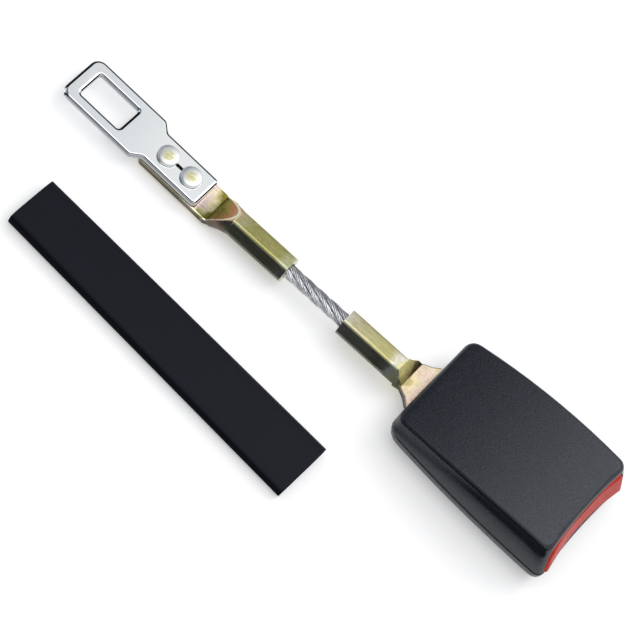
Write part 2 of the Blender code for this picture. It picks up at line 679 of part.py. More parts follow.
def tongue_rivet(name, x):
    """Round-headed rivet through the tongue and the tab, with its foot peened flat underneath."""
    head = RIVET_HEAD_DIAMETER / 2
    flat = RIVET_FLAT_DIAMETER / 2
    shank = RIVET_SHANK_DIAMETER / 2
    foot = RIVET_FOOT_DIAMETER / 2
    base = TONGUE_TOP + TOUCH_GAP
    profile = [(0.0, base + RIVET_HEAD_HEIGHT), (flat, base + RIVET_HEAD_HEIGHT)]
    for k in range(1, 5):
        turn = math.pi / 2 * k / 4
        profile.append((flat + (head - flat) * math.sin(turn),
                        base + RIVET_HEAD_HEIGHT - 0.8 * RIVET_HEAD_HEIGHT * (1 - math.cos(turn))))
    profile += [(head, base), (shank, base), (shank, RIVET_FOOT_HEIGHT), (foot, RIVET_FOOT_HEIGHT),
                (foot, 0.3 * RIVET_FOOT_HEIGHT), (0.9 * foot, 0.0), (0.0, 0.0)]
    return beside(finish(turned(name, profile, (x, 0.0, 0.0)), RIVET_STEEL, 0.3, 1.0))


def frame_rivet(name, y):
    """Rivet that holds the terminal's tab down on the frame, flush below."""
    head = FRAME_RIVET_HEAD_DIAMETER / 2
    shank = FRAME_RIVET_SHANK_DIAMETER / 2
    base = BUCKLE_TAB_TOP + TOUCH_GAP
    top = base + FRAME_RIVET_HEAD_HEIGHT
    profile = [(0.0, top), (0.6 * head, top), (0.9 * head, top - 0.3 * FRAME_RIVET_HEAD_HEIGHT),
               (head, base + 0.3 * FRAME_RIVET_HEAD_HEIGHT), (head, base), (shank, base),
               (shank, FRAME_BOTTOM), (0.0, FRAME_BOTTOM)]
    return finish(turned(name, profile, (FRAME_RIVET_X, y, 0.0)), BARE_STEEL, 0.35, 1.0)


def ease(share):
    """Smooth step between 0 and 1."""
    share = max(0.0, min(1.0, share))
    return share * share * (3 - 2 * share)


def sleeve_section(centre, lift, arch_half_width, arch_height, floor_half_width, floor_drop, blend, pitch):
    """Section of a terminal between its flattened arch and its six-sided sleeve, as points in space."""
    corner = SLEEVE_FLATS / math.sqrt(3)
    points = []
    for k in range(7):
        turn = math.pi * k / 6
        arch = Vector((arch_half_width * math.cos(turn), arch_height * math.sin(turn)))
        reach = corner if k % 2 == 0 else corner * math.cos(math.pi / 6)
        six = Vector((reach * math.cos(turn), reach * math.sin(turn) + lift))
        points.append(arch.lerp(six, blend))
    for side in (-1, 1):
        floor = Vector((side * floor_half_width, -floor_drop))
        six = Vector((side * corner / 2, lift - SLEEVE_FLATS / 2))
        points.append(floor.lerp(six, blend))
    tilt = math.sin(pitch) * blend
    return [centre + Vector((-(z - lift) * tilt, y, z)) for y, z in points]


def terminal(name, end_x, bend_x, neck_width, taper_x, tab_width, flare, scoop, middle_z, tab_y, hole_places,
             hole_radius):
    """Pressed tube terminal on the rope's line: flat two-layer tab, scooped step and six-sided sleeve."""
    way = 1 if bend_x > end_x else -1
    half_tab = TAB_THICKNESS / 2
    corner = SLEEVE_FLATS / math.sqrt(3)
    arch_top = AXIS_RISE + SLEEVE_FLATS / 2
    pitch = math.atan2(AXIS.z, AXIS.x)
    arch_y = neck_width / 2 - TAB_LAP / 2
    rings = []
    for share in (-TAB_LAP / flare, 0.3, 0.65, 1.0):
        blend = ease(share)
        centre = Vector((bend_x + way * flare * share, tab_y * (1 - blend), middle_z))
        rings.append(sleeve_section(centre, AXIS_RISE, arch_y, arch_top, arch_y - half_tab / 4,
                                    half_tab - TAB_LAP / 2, blend, pitch))
    run = AXIS * (way * SLEEVE_LENGTH)
    rings.append([point + run for point in rings[-1]])
    obj = add_object(name, skin(rings))
    high = 2 * arch_top
    step_z = middle_z + half_tab - TAB_LAP / 2
    step = [(bend_x - way * flare, step_z), (bend_x - way * TAB_LAP / 4, step_z),
            (bend_x + way * scoop, middle_z + arch_top), (bend_x + way * scoop * 1.5, middle_z + high),
            (bend_x - way * flare, middle_z + high)]
    cut(obj, "scoop", prism(step, "Y", -tab_width, tab_width))
    bevel(obj, SLEEVE_EDGE_RADIUS, segments=2, angle_deg=28.0)
    wide = tab_width / 2
    neck = neck_width / 2
    half_plan = [(end_x, wide - TAB_END_CHAMFER), (end_x + way * TAB_END_CHAMFER, wide), (taper_x, wide)]
    if taper_x != bend_x:
        waist_x = taper_x + way * TAPER_WAIST * abs(bend_x - taper_x)
        half_plan += [(waist_x, neck + 0.9 * TAPER_WAIST * (wide - neck)), (bend_x, neck)]
    half_plan += [(bend_x + way * TAB_THICKNESS, neck - half_tab)]

    def beside_tab(points):
        return [(x, y + tab_y * (1 - ease(way * (x - bend_x) / flare))) for x, y in points]
    tab = prism(beside_tab(mirrored(half_plan)), "Z", middle_z - half_tab, middle_z + half_tab)
    join(obj, "tab", tab, SLEEVE_EDGE_RADIUS)
    seam = TAB_SEAM_HEIGHT / 2
    seam_plan = [(end_x + way * (TAB_END_CHAMFER + TAB_LAP), wide)] + half_plan[2:]
    for side in (-1, 1):
        deep = [(x, side * (y - TAB_SEAM_DEPTH)) for x, y in seam_plan]
        out = [(x, side * (y + wide)) for x, y in reversed(seam_plan)]
        cut(obj, "seam", prism(beside_tab(deep + out), "Z", middle_z - seam, middle_z + seam))
    for x, y in hole_places:
        place = (x, tab_y + y)
        cut(obj, "tab_hole", bar("Z", place, hole_radius, middle_z - TAB_THICKNESS, middle_z + TAB_THICKNESS))
    mouth = Vector((bend_x + way * flare, 0.0, middle_z + AXIS_RISE)) + run
    depth = ROPE_GRIP + ROPE_BORE_GAP + corner
    bore = bmesh.new()
    turn = AXIS.to_track_quat("Z", "Y").to_matrix().to_4x4()
    middle = mouth - AXIS * (way * (depth / 2 - corner))
    bmesh.ops.create_cone(bore, cap_ends=True, segments=24, radius1=ROPE_BORE_RADIUS,
                          radius2=ROPE_BORE_RADIUS, depth=depth, matrix=Matrix.Translation(middle) @ turn)
    cut(obj, "rope_bore", bore)
    return beside(finish(obj, YELLOW_ZINC, 0.3, 1.0))


def rope():
    """Six strands laid round a core, gripped at both ends by the sleeves."""
    start = AXIS_START + AXIS * (SLEEVE_LENGTH - ROPE_GRIP)
    end = AXIS_END - AXIS * (SLEEVE_LENGTH - ROPE_GRIP)
    length = (end - start).length
    beside(finish(wire("rope_core", [start, end], CORE_DIAMETER), ROPE_STEEL, 0.4, 1.0))
    turns = length / ROPE_LAY
    count = round(turns * STRAND_POINTS_PER_TURN)
    level = AXIS.cross(Vector((0.0, 1.0, 0.0)))
    across = Vector((0.0, 1.0, 0.0))
    for number in range(STRAND_COUNT):
        points = []
        for k in range(count + 1):
            turn = 2 * math.pi * (turns * k / count + number / STRAND_COUNT)
            points.append(start + AXIS * (length * k / count)
                          + (across * math.cos(turn) + level * math.sin(turn)) * STRAND_CIRCLE_RADIUS)
        beside(finish(wire(f"rope_strand_{number + 1}", points, STRAND_DIAMETER), ROPE_STEEL, 0.4, 1.0))


def frame_rear_x():
    """Rear end of the frame, clear of the tub's rounded rear wall."""
    return BUCKLE_REAR_X + UNDERSIDE_END_INSET * tub_share(FRAME_BOTTOM) + WALL + RUN_GAP


def buckle_frame():
    """Folded steel channel that carries the tab, the latch and the tongue."""
    outer = FRAME_HALF_WIDTH
    section = rounded([(-outer, FRAME_WALL_TOP, 0), (-outer, FRAME_BOTTOM, FRAME_THICKNESS),
                       (outer, FRAME_BOTTOM, FRAME_THICKNESS), (outer, FRAME_WALL_TOP, 0),
                       (FRAME_INNER_Y, FRAME_WALL_TOP, 0), (FRAME_INNER_Y, FRAME_TOP, 0),
                       (-FRAME_INNER_Y, FRAME_TOP, 0), (-FRAME_INNER_Y, FRAME_WALL_TOP, 0)], steps=3)
    rear_x = frame_rear_x()
    obj = add_object("buckle_frame", prism(section, "X", rear_x, FRAME_FRONT_X))
    high = FRAME_WALL_TOP + FRAME_THICKNESS
    shoulder_x = rear_x + FRAME_WALL_TOP - GUIDE_WALL_TOP
    rear_cut = [(rear_x - WALL, GUIDE_WALL_TOP), (rear_x, GUIDE_WALL_TOP),
                (shoulder_x, high), (rear_x - WALL, high)]
    front_cut = [(FRAME_WALL_FRONT_X - GUIDE_SLOPE, high), (FRAME_WALL_FRONT_X, GUIDE_WALL_TOP),
                 (FRAME_FRONT_X + WALL, GUIDE_WALL_TOP), (FRAME_FRONT_X + WALL, high)]
    notch_rear = LIFT_PIN_X - LIFT_PIN_DIAMETER
    notch_front = LIFT_PIN_X + LIFT_PIN_DIAMETER
    notch_bottom = HINGE_Z - LIFT_PIN_DIAMETER / 2 - RUN_GAP
    notch = [(notch_rear, high), (notch_rear, notch_bottom), (notch_front, notch_bottom), (notch_front, high)]
    for name, outline in (("wall_rear", rear_cut), ("wall_front", front_cut), ("lift_pin_notch", notch)):
        cut(obj, name, prism(outline, "Y", -2 * outer, 2 * outer))
    bore = HINGE_PIN_DIAMETER / 2 + BORE_GAP
    cut(obj, "hinge_hole", bar("Y", (HINGE_X, HINGE_Z), bore, -2 * outer, 2 * outer))
    slot_y = EJECTOR_KEEL_HALF_WIDTH + RUN_GAP
    cut(obj, "keel_slot", box((BUCKLE_TAB_END_X, -slot_y, 0.0), (PAWL_FRONT_X, slot_y, FRAME_TOP + WALL)))
    pawl_y = PAWL_HALF_WIDTH + 3 * RUN_GAP
    cut(obj, "pawl_hole", box((PAWL_REAR_X - 4 * RUN_GAP, -pawl_y, 0.0),
                              (PAWL_FRONT_X + 4 * RUN_GAP, pawl_y, FRAME_TOP + WALL)))
    for side in (-1, 1):
        place = (FRAME_RIVET_X, side * FRAME_RIVET_SPACING / 2)
        rivet_bore = FRAME_RIVET_SHANK_DIAMETER / 2 + BORE_GAP
        cut(obj, "frame_rivet_hole", bar("Z", place, rivet_bore, 0.0, FRAME_TOP + WALL))
    return finish(obj, BARE_STEEL, 0.4, 1.0)


def latch():
    """Latch plate on two hinge barrels, with a barrel for the lift pin and a pawl bent down in front."""
    pawl_y = PAWL_HALF_WIDTH
    side_y = LATCH_HALF_WIDTH
    plate_rear = HINGE_X + BARREL_RADIUS - BARREL_WALL / 2
    obj = add_object("latch", box((plate_rear, -side_y, LATCH_BOTTOM), (PAWL_FRONT_X, side_y, LATCH_TOP)))
    pawl = [(PAWL_REAR_X, LATCH_TOP - BARREL_WALL / 2), (PAWL_REAR_X, PAWL_TIP_Z),
            (PAWL_REAR_X + PAWL_LENGTH / 2, PAWL_TIP_Z),
            (PAWL_FRONT_X + LATCH_NOSE / 4, FRAME_TOP + TONGUE_THICKNESS),
            (PAWL_FRONT_X + LATCH_NOSE, LATCH_TOP - BARREL_WALL / 2)]
    join(obj, "pawl", prism(pawl, "Y", -pawl_y, pawl_y))
    for side in (-1, 1):
        y = sorted((side * BARREL_INNER_Y, side * (FRAME_INNER_Y - RUN_GAP)))
        join(obj, "hinge_barrel", bar("Y", (HINGE_X, HINGE_Z), BARREL_RADIUS, y[0], y[1]))
    hinge_radius = HINGE_PIN_DIAMETER / 2 + BORE_GAP
    lift_radius = LIFT_PIN_DIAMETER / 2 + BORE_GAP
    join(obj, "lift_barrel", bar("Y", (LIFT_PIN_X, HINGE_Z), lift_radius + BARREL_WALL * 0.8,
                                 -side_y + BARREL_WALL, side_y - BARREL_WALL))
    cut(obj, "hinge_bore", bar("Y", (HINGE_X, HINGE_Z), hinge_radius, -2 * side_y, 2 * side_y))
    cut(obj, "lift_bore", bar("Y", (LIFT_PIN_X, HINGE_Z), lift_radius, -2 * side_y, 2 * side_y))
    window_y = BARREL_INNER_Y - BARREL_WALL
    cut(obj, "spring_window", box((plate_rear - WALL, -window_y, 0.0),
                                  (HINGE_X + 1.6 * BARREL_RADIUS, window_y, 2 * LATCH_TOP)))
    return finish(obj, BARE_STEEL, 0.35, 1.0)


def pins():
    """Hinge pin of the latch, and the lift pin that rides on the button's ramps, which is returned."""
    reach = FRAME_HALF_WIDTH
    hinge = add_object("latch_pin", bar("Y", (HINGE_X, HINGE_Z), HINGE_PIN_DIAMETER / 2, -reach, reach))
    finish(hinge, BARE_STEEL, 0.3, 1.0)
    lift = add_object("lift_pin", bar("Y", (LIFT_PIN_X, HINGE_Z), LIFT_PIN_DIAMETER / 2,
                                      -LEG_OUTER_Y + RUN_GAP, LEG_OUTER_Y - RUN_GAP))
    return finish(lift, BARE_STEEL, 0.3, 1.0)


def latch_spring():
    """Torsion spring round the hinge pin: one leg lies on the latch, the other points up and back."""
    radius = HINGE_PIN_DIAMETER / 2 + BORE_GAP + LATCH_SPRING_GAP + LATCH_SPRING_WIRE / 2
    half_length = BARREL_INNER_Y - BARREL_WALL
    hinge = Vector((HINGE_X, 0.0, HINGE_Z))
    leg_z = LATCH_TOP + TOUCH_GAP + LATCH_SPRING_WIRE / 2
    start_turn = math.asin(min(1.0, (leg_z - HINGE_Z) / (radius + TOUCH_GAP)))
    count = LATCH_SPRING_TURNS * COIL_POINTS_PER_TURN
    points = [Vector((HINGE_X + 2.4 * BARREL_RADIUS, -half_length, leg_z))]
    for k in range(count + 1):
        turn = start_turn + 2 * math.pi * LATCH_SPRING_TURNS * k / count
        y = half_length * (2 * k / count - 1)
        points.append(hinge + Vector((radius * math.cos(turn), y, radius * math.sin(turn))))
    points.append(Vector((HINGE_X - BARREL_RADIUS, half_length, HINGE_Z + BARREL_RADIUS)))
    return finish(wire("latch_spring", points, LATCH_SPRING_WIRE, 1), BARE_STEEL, 0.3, 1.0)


def ejector():
    """Sliding block behind the pawl, guided by its keel in the frame's slot."""
    keel_y = EJECTOR_KEEL_HALF_WIDTH
    keel_bottom = FRAME_BOTTOM + RUN_GAP
    side = EJECTOR_HALF_WIDTH
    obj = add_object("ejector", box((EJECTOR_REAR_X, -side, FRAME_TOP + RUN_GAP),
                                    (EJECTOR_FRONT_X, side, EJECTOR_TOP_Z)))
    join(obj, "keel", box((EJECTOR_REAR_X, -keel_y, keel_bottom),
                          (EJECTOR_FRONT_X, keel_y, FRAME_TOP + 2 * RUN_GAP)))
    bore = EJECTOR_SPRING_DIAMETER / 2 + BORE_GAP
    cut(obj, "spring_channel", box((EJECTOR_REAR_X - WALL, -bore, keel_bottom - WALL),
                                   (EJECTOR_FRONT_X - EJECTOR_FRONT_WALL, bore, EJECTOR_SPRING_Z + bore)))
    return finish(obj, GREY_NYLON, 0.5, 0.0)


def straight_spring(name, rear_x, front_x, y, z, diameter, wire_diameter, turns):
    """Compression spring between two seats along X."""
    start = Vector((rear_x + wire_diameter / 2, y, z))
    length = front_x - rear_x - wire_diameter
    points = coil(start, Vector((1.0, 0.0, 0.0)), length, (diameter - wire_diameter) / 2, turns)
    return finish(wire(name, points, wire_diameter, 1), BARE_STEEL, 0.3, 1.0)


def cover_sleeve():
    """Flat-lying protective tube that is pushed over the rope, with a slightly domed top."""
    def form(wall, reach):
        rings = []
        for share in (-reach / COVER_LENGTH, 0.5, 1 + reach / COVER_LENGTH):
            half = (COVER_REAR_WIDTH + (COVER_FRONT_WIDTH - COVER_REAR_WIDTH) * share) / 2 - wall
            height = COVER_REAR_HEIGHT + (COVER_FRONT_HEIGHT - COVER_REAR_HEIGHT) * share - 2 * wall
            ring = []
            for k in range(24):
                turn = 2 * math.pi * k / 24
                across = math.copysign(abs(math.cos(turn)) ** 0.45, math.cos(turn))
                up = math.copysign(abs(math.sin(turn)) ** 0.45, math.sin(turn))
                ring.append(Vector((COVER_LENGTH * share, half * across, wall + height / 2 * (1 + up))))
            rings.append(ring)
        turn = Matrix.Rotation(math.radians(COVER_TURN_DEG), 4, "Z")
        place = Matrix.Translation((COVER_REAR_X, COVER_REAR_Y, 0.0)) @ turn
        return skin([[place @ point for point in ring] for ring in rings])
    obj = add_object("cover_sleeve", form(0.0, 0.0))
    cut(obj, "sleeve_bore", form(COVER_WALL, 5 * COVER_WALL))
    return finish(obj, BLACK_SLEEVE, 0.6, 0.0)


def build():
    """Make every sub-part and hang the moving ones on their joints."""
    for old in list(bpy.data.objects):
        bpy.data.objects.remove(old, do_unlink=True)
    bpy.context.scene.collection.children.link(model)
    bpy.context.scene.collection.children.link(cutters)
    tongue_plate()
    tongue_rivet("tongue_rivet_front", FRONT_RIVET_X)
    tongue_rivet("tongue_rivet_rear", REAR_RIVET_X)
    terminal("tongue_terminal", TONGUE_END_X - TONGUE_TAB_COVER, TONGUE_BEND_X, SHANK_WIDTH, TONGUE_BEND_X,
             SHANK_WIDTH, TONGUE_FLARE, TONGUE_SCOOP, TONGUE_TAB_BOTTOM + TAB_THICKNESS / 2, 0.0,
             [(FRONT_RIVET_X, 0.0), (REAR_RIVET_X, 0.0)], RIVET_SHANK_DIAMETER / 2 + BORE_GAP)
    rope()
    rivet_y = FRAME_RIVET_SPACING / 2
    terminal("buckle_terminal", BUCKLE_TAB_END_X, BUCKLE_BEND_X, BUCKLE_TAB_NECK, BUCKLE_TAB_WIDE_X,
             BUCKLE_TAB_WIDTH, BUCKLE_FLARE, BUCKLE_SCOOP, BUCKLE_TAB_BOTTOM + TAB_THICKNESS / 2,
             -ROPE_LINE_Y, [(FRAME_RIVET_X, -rivet_y), (FRAME_RIVET_X, rivet_y)],
             FRAME_RIVET_SHANK_DIAMETER / 2 + BORE_GAP)
    upper_cover()
    lower_cover()
    cover_sleeve()
    buckle_frame()
    frame_rivet("frame_rivet_left", rivet_y)
    frame_rivet("frame_rivet_right", -rivet_y)

    latch_axis = joint_empty("latch_axis", (HINGE_X, 0.0, HINGE_Z))
    for piece in (latch(), pins(), latch_spring()):
        hang(piece, latch_axis)

    button_axis = joint_empty("button_axis", (leg_rear_x(), 0.0, LEG_BOTTOM_Z))
    hang(release_button(), button_axis)
    spring_z = LEG_BOTTOM_Z + LEG_SEAT_HEIGHT / 2
    for name, y in (("button_spring_left", LEG_MIDDLE_Y), ("button_spring_right", -LEG_MIDDLE_Y)):
        straight_spring(name, spring_post_front_x() + SPRING_SEAT_GAP, leg_rear_x() - SPRING_SEAT_GAP, y,
                        spring_z, BUTTON_SPRING_DIAMETER, BUTTON_SPRING_WIRE, BUTTON_SPRING_TURNS)

    ejector_axis = joint_empty("ejector_axis", (EJECTOR_REAR_X, 0.0, EJECTOR_SPRING_Z))
    hang(ejector(), ejector_axis)
    straight_spring("ejector_spring", BUCKLE_TAB_END_X + SPRING_SEAT_GAP,
                    EJECTOR_FRONT_X - EJECTOR_FRONT_WALL - SPRING_SEAT_GAP, 0.0, EJECTOR_SPRING_Z,
                    EJECTOR_SPRING_DIAMETER, EJECTOR_SPRING_WIRE, EJECTOR_SPRING_TURNS)


build()
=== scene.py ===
"""Looks of a seat belt extender: chromed tongue, wire rope in pressed terminals and a push button buckle.

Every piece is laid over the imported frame, which holds the sizes and the joints. Units are metres.
"""
import json
import math

import bpy
from bpy.props import FloatProperty, FloatVectorProperty, PointerProperty
from bpy.types import Operator, Panel, PropertyGroup
from mathutils import Matrix, Vector


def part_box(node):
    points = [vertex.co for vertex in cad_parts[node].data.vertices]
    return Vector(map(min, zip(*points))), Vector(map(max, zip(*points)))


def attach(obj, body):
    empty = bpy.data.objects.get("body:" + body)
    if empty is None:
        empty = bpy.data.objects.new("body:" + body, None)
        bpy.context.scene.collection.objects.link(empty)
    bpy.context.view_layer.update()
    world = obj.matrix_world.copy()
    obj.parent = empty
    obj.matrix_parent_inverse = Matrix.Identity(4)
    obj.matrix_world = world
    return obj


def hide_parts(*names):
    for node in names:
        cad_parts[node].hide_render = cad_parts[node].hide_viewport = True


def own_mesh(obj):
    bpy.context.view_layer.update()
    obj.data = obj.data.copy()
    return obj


bl_info = {
    "name": "Seat Belt Extender Looks",
    "version": (1, 0, 0),
    "blender": (4, 5, 0),
    "location": "3D View > Sidebar > Extender",
    "description": "Finishes the seat belt extender and sets it on a pale floor",
    "category": "Object",
}

MM = 0.001
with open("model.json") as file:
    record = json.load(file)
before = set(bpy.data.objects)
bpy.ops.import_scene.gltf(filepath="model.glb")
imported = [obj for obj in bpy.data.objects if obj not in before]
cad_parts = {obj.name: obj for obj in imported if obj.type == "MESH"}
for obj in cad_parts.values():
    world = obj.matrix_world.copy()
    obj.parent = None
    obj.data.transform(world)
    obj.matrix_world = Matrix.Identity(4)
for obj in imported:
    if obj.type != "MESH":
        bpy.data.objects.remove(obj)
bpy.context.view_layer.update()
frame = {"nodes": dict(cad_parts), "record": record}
MERGE_DISTANCE = 0.002 * MM
FLAT_ANGLE = math.radians(0.5)  # faces that meet flatter than this are one face
EDGE_ANGLE = math.radians(40.0)  # and edges sharper than this are rounded

# Camera, fitted to the straight edges of the reference view
CAMERA_TARGET = Vector((-80.05 * MM, -9.6 * MM, 8.0 * MM))
CAMERA_BACK = Vector((0.0618, -0.4978, 0.8651)).normalized()
CAMERA_RIGHT = Vector((0.7250, 0.6181, 0.3038)).normalized()

# Studio, in metres
FLOOR_SIZE = 14.0
FLOOR_DROP = 0.3 * MM
GLOW_REACH = (0.5, 2.5)  # the floor's own glow rises between these distances from the extender
GLOW = (0.3, 1.0)
FILL_LIGHT = "#c0c1c3"  # light of the white room on matt surfaces
DARK_WALLS = {  # colour, middle, tilt in degrees, width and height
    "dark_wall_front": ("#54585b", (0.0, -1.1, 0.11), 90.0, (3.2, 0.26)),
    "dark_cloth_front": ("#54585b", (0.0, -0.575, 0.001), 0.0, (2.4, 1.05)),
    "dark_wall_back": ("#101114", (0.0, 1.5, 0.115), 90.0, (3.2, 0.27)),
}
LAMPS = {  # place, side of the square and power in watts
    "lamp_front_end": ((0.37, 0.75, 1.3), 0.85, 5.4),
    "lamp_above": ((0.0, -0.2, 1.4), 1.1, 5.0),
}

# Tongue: wide blade with the latch window, narrower shank with the two rivets
TONGUE_LOW, TONGUE_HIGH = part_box("tongue_plate")
BLADE_LENGTH = 34.6 * MM
SHOULDER_LENGTH = 3.8 * MM
SHANK_WIDTH = 14.8 * MM
TIP_RADIUS = 4.0 * MM
SHOULDER_RADIUS = 2.0 * MM
SHANK_END_RADIUS = 1.6 * MM
TIP_BAR = 5.6 * MM
WINDOW_LENGTH = 19.4 * MM
WINDOW_WIDTH = 11.6 * MM
WINDOW_CORNER_RADIUS = 1.2 * MM
RIVET_SLOT_WIDTH = 1.4 * MM
CORNER_STEPS = 8
ROLL_STEPS = 6
CUT_DEPTH = 8.0 * MM

# Rivets of the tongue
RIVET_X = {"front": -161.15 * MM, "rear": -149.75 * MM}
RIVET_HEAD_RADIUS = 4.3 * MM
RIVET_HEAD_RIM = 0.3 * MM
RIVET_CROWN = 1.4 * MM
RIVET_CROWN_POWERS = (0.72, 0.55)  # of its cosine and sine: below 1 it is fuller than an ellipse
RIVET_CROWN_STEPS = 12
RIVET_SHANK_RADIUS = 2.5 * MM
RIVET_HOLE_GAP = 0.3 * MM
RIVET_FOOT_RADIUS = 3.7 * MM
RIVET_FOOT_HEIGHT = 1.0 * MM
RIVET_FOOT_CHAMFER = (0.37 * MM, 0.3 * MM)  # inwards and upwards
RIVET_SEAT_GAP = 0.25 * MM
ROUND_STEPS = 48
BLOOM_SHIFT = Vector((0.1 * MM, -0.6 * MM))  # the yellow bloom lies a little beside the middle of the head

# Terminals
SLEEVE_Y = -3.2 * MM
SLEEVE_LENGTH = 28.5 * MM
BORE_CLEAR_RADIUS = 5.2 * MM
SHARP_EDGE_BREAK = 0.4 * MM  # wider than the small edge break of the solids, which is merged away first
LONG_EDGE = 8.0 * MM

# Colour of the chromate film along the terminals: places in millimetres along the extender. The pale cream
# at -48.5 and -46 mm, in the scoop of the buckle's terminal, is the film's colour with a painted reflection
# of the crest above it
FILM_AND_REFLECTION_RUN = [(-172, "#d8c9a6"), (-146, "#b4a878"), (-142.5, "#f0edb4"), (-140.5, "#ffe2e6"),
            (-138, "#fff2c0"), (-135.5, "#8f893e"), (-132, "#a08a48"), (-129.5, "#c4835e"),
            (-127, "#c8b48c"), (-125, "#b9b68e"), (-120, "#aba66c"), (-106, "#a9a46a"),
            (-101, "#cfd0b2"), (-73.5, "#d5d5cc"), (-69, "#beb893"), (-53, "#b8b17c"),
            (-48.5, "#e9e8dc"), (-46, "#fff8b8"), (-42.5, "#ccc18c"), (-39.5, "#bdae98"),
            (-36, "#bcab9f"), (-21, "#e0cfa8")]
MATT_STEP = [(-50.0, "#000000"), (-48.2, "#b4b4b4"), (-42.7, "#b4b4b4"), (-40.9, "#000000")]
ZINC_WANDER = 7.0 * MM  # how far the film's colour lines wander along the tube
# Lines across the tube fall back along it by this much for each square metre of offset from its middle
ZINC_BOW = 50.0
RIM_BOW = 170.0
RIM_X = -127.6 * MM  # where the rim of the scoop crosses the top of the tongue's terminal
# The shine on the rim is a painted highlight
RIM_HIGHLIGHT_FADE = (0.85 * MM, 0.25 * MM)  # distances from the rim at which its shine starts and is full

# Rope, as in the solids: strands laid round a core between the two sleeves
ROPE_START = Vector((-114.76 * MM, SLEEVE_Y, 6.60 * MM))
ROPE_END = Vector((-59.24 * MM, SLEEVE_Y, 9.20 * MM))
STRAND_COUNT = 6
STRAND_CIRCLE_RADIUS = 2.02 * MM
STRAND_LAY = 38.0 * MM
WIRES_IN_STRAND = 6
WIRE_POINTS = 170

# Buckle
BUCKLE_LENGTH = 71.5 * MM
REAR_HEIGHT = 18.5 * MM
CROWN = 2.1 * MM
BAND_FOOT = 6.5 * MM  # below the top, where the steep polished wall ends
BAND_FADE = (-25 * MM, 5 * MM)  # along the buckle, where the polish comes in
POLISHED_ROUGHNESS = 0.13


def linear(hex_colour):
    """Linear red, green, blue and alpha of an sRGB hex colour."""
    shares = [int(hex_colour[i:i + 2], 16) / 255 for i in (1, 3, 5)]
    return [s / 12.92 if s <= 0.04045 else ((s + 0.055) / 1.055) ** 2.4 for s in shares] + [1.0]


def length_setting(name, description, size_mm):
    """A length that the user can set, with its default in millimetres."""
    return FloatProperty(name=name, description=description, default=size_mm * MM, min=0.0, precision=5,
                         subtype="DISTANCE", unit="LENGTH")


def colour_setting(name, description, hex_colour):
    """A colour that the user can set, with its default as an sRGB hex value."""
    return FloatVectorProperty(name=name, description=description, default=linear(hex_colour), size=4,
                               min=0.0, max=1.0, subtype="COLOR")


class ExtenderSizes(PropertyGroup):
    """Sizes of the finish that a user would change."""
    plate_edge: length_setting("Plate edge", "Rolled edge of the blanked tongue plate", 1.25)
    tube_edge: length_setting("Tube edge", "Rounded corners of the pressed hexagon", 1.0)
    parting_edge: length_setting("Parting edge", "Broken edge where the two mouldings meet", 0.3)
    button_edge: length_setting("Button edge", "Edge radius of the button", 0.3)
    steel_edge: length_setting("Steel edge", "Broken edge of the inner steel pieces", 0.15)
    wire_diameter: length_setting("Wire diameter", "Diameter of one wire of the rope", 0.6)
    wire_lay: length_setting("Wire lay", "Length in which a wire turns once round its strand", 27.0)
    camera_distance: length_setting("Camera distance", "From the camera to the middle of the view", 1105.0)
    camera_lens: FloatProperty(name="Camera lens",
                               description="Focal length in millimetres on a 36 mm sensor",
                               default=172.63, min=1.0)


class ExtenderColours(PropertyGroup):
    """Colours of the finishes."""
    moulding: colour_setting("Moulding", "Black moulded plastic of the buckle", "#070c13")
    button: colour_setting("Button", "Red moulded plastic of the button", "#c23426")
    sleeve: colour_setting("Cover sleeve", "Black vinyl of the loose sleeve", "#0a0c14")
    nylon: colour_setting("Ejector", "Unfilled nylon of the ejector", "#e3dfd2")
    floor: colour_setting("Floor", "Studio floor", "#f2f2f2")


def sizes():
    """The sizes of this scene."""
    return bpy.context.scene.extender_sizes


def colours():
    """The colours of this scene."""
    return bpy.context.scene.extender_colours


def pick(piece):
    """Select one object alone and make it the active one."""
    bpy.ops.object.select_all(action="DESELECT")
    piece.select_set(True)
    bpy.context.view_layer.objects.active = piece


def apply_modifier(piece, kind, **settings):
    """Add a modifier with its settings and apply it."""
    pick(piece)
    step = piece.modifiers.new(kind.lower(), kind)
    for name, value in settings.items():
        setattr(step, name, value)
    bpy.ops.object.modifier_apply(modifier=step.name)


def copy_of(node, name):
    """A merged copy of a solid of the frame, its flat faces in one piece, ready for modifiers."""
    piece = bpy.data.objects.new(name, frame["nodes"][node].data.copy())
    bpy.context.scene.collection.objects.link(piece)
    pick(piece)
    if piece.data.has_custom_normals:
        bpy.ops.mesh.customdata_custom_splitnormals_clear()
    bpy.ops.object.mode_set(mode="EDIT")
    bpy.ops.mesh.select_all(action="SELECT")
    bpy.ops.mesh.remove_doubles(threshold=MERGE_DISTANCE)
    bpy.ops.mesh.dissolve_limited(angle_limit=FLAT_ANGLE)
    bpy.ops.object.mode_set(mode="OBJECT")
    return piece


def round_edges(piece, width, segments=2, clamp=True):
    """Round the sharp edges of a piece, less where the rounds would meet if they are clamped."""
    apply_modifier(piece, "BEVEL", width=width, segments=segments, limit_method="ANGLE",
                   angle_limit=EDGE_ANGLE, use_clamp_overlap=clamp, miter_outer="MITER_ARC")


def select_parts(piece, kind, parts, chosen):
    """Go into edit mode with only the chosen vertices, edges or faces of a piece selected."""
    pick(piece)
    bpy.ops.object.mode_set(mode="EDIT")
    bpy.ops.mesh.select_mode(type=kind)
    bpy.ops.mesh.select_all(action="DESELECT")
    bpy.ops.object.mode_set(mode="OBJECT")
    for part in parts:
        part.select = chosen(part)
    bpy.ops.object.mode_set(mode="EDIT")


def bevel_selected(width, segments):
    """Round the selected edges and leave edit mode."""
    bpy.ops.mesh.bevel(offset=width, offset_type="OFFSET", segments=segments, affect="EDGES",
                       clamp_overlap=False)
    bpy.ops.object.mode_set(mode="OBJECT")


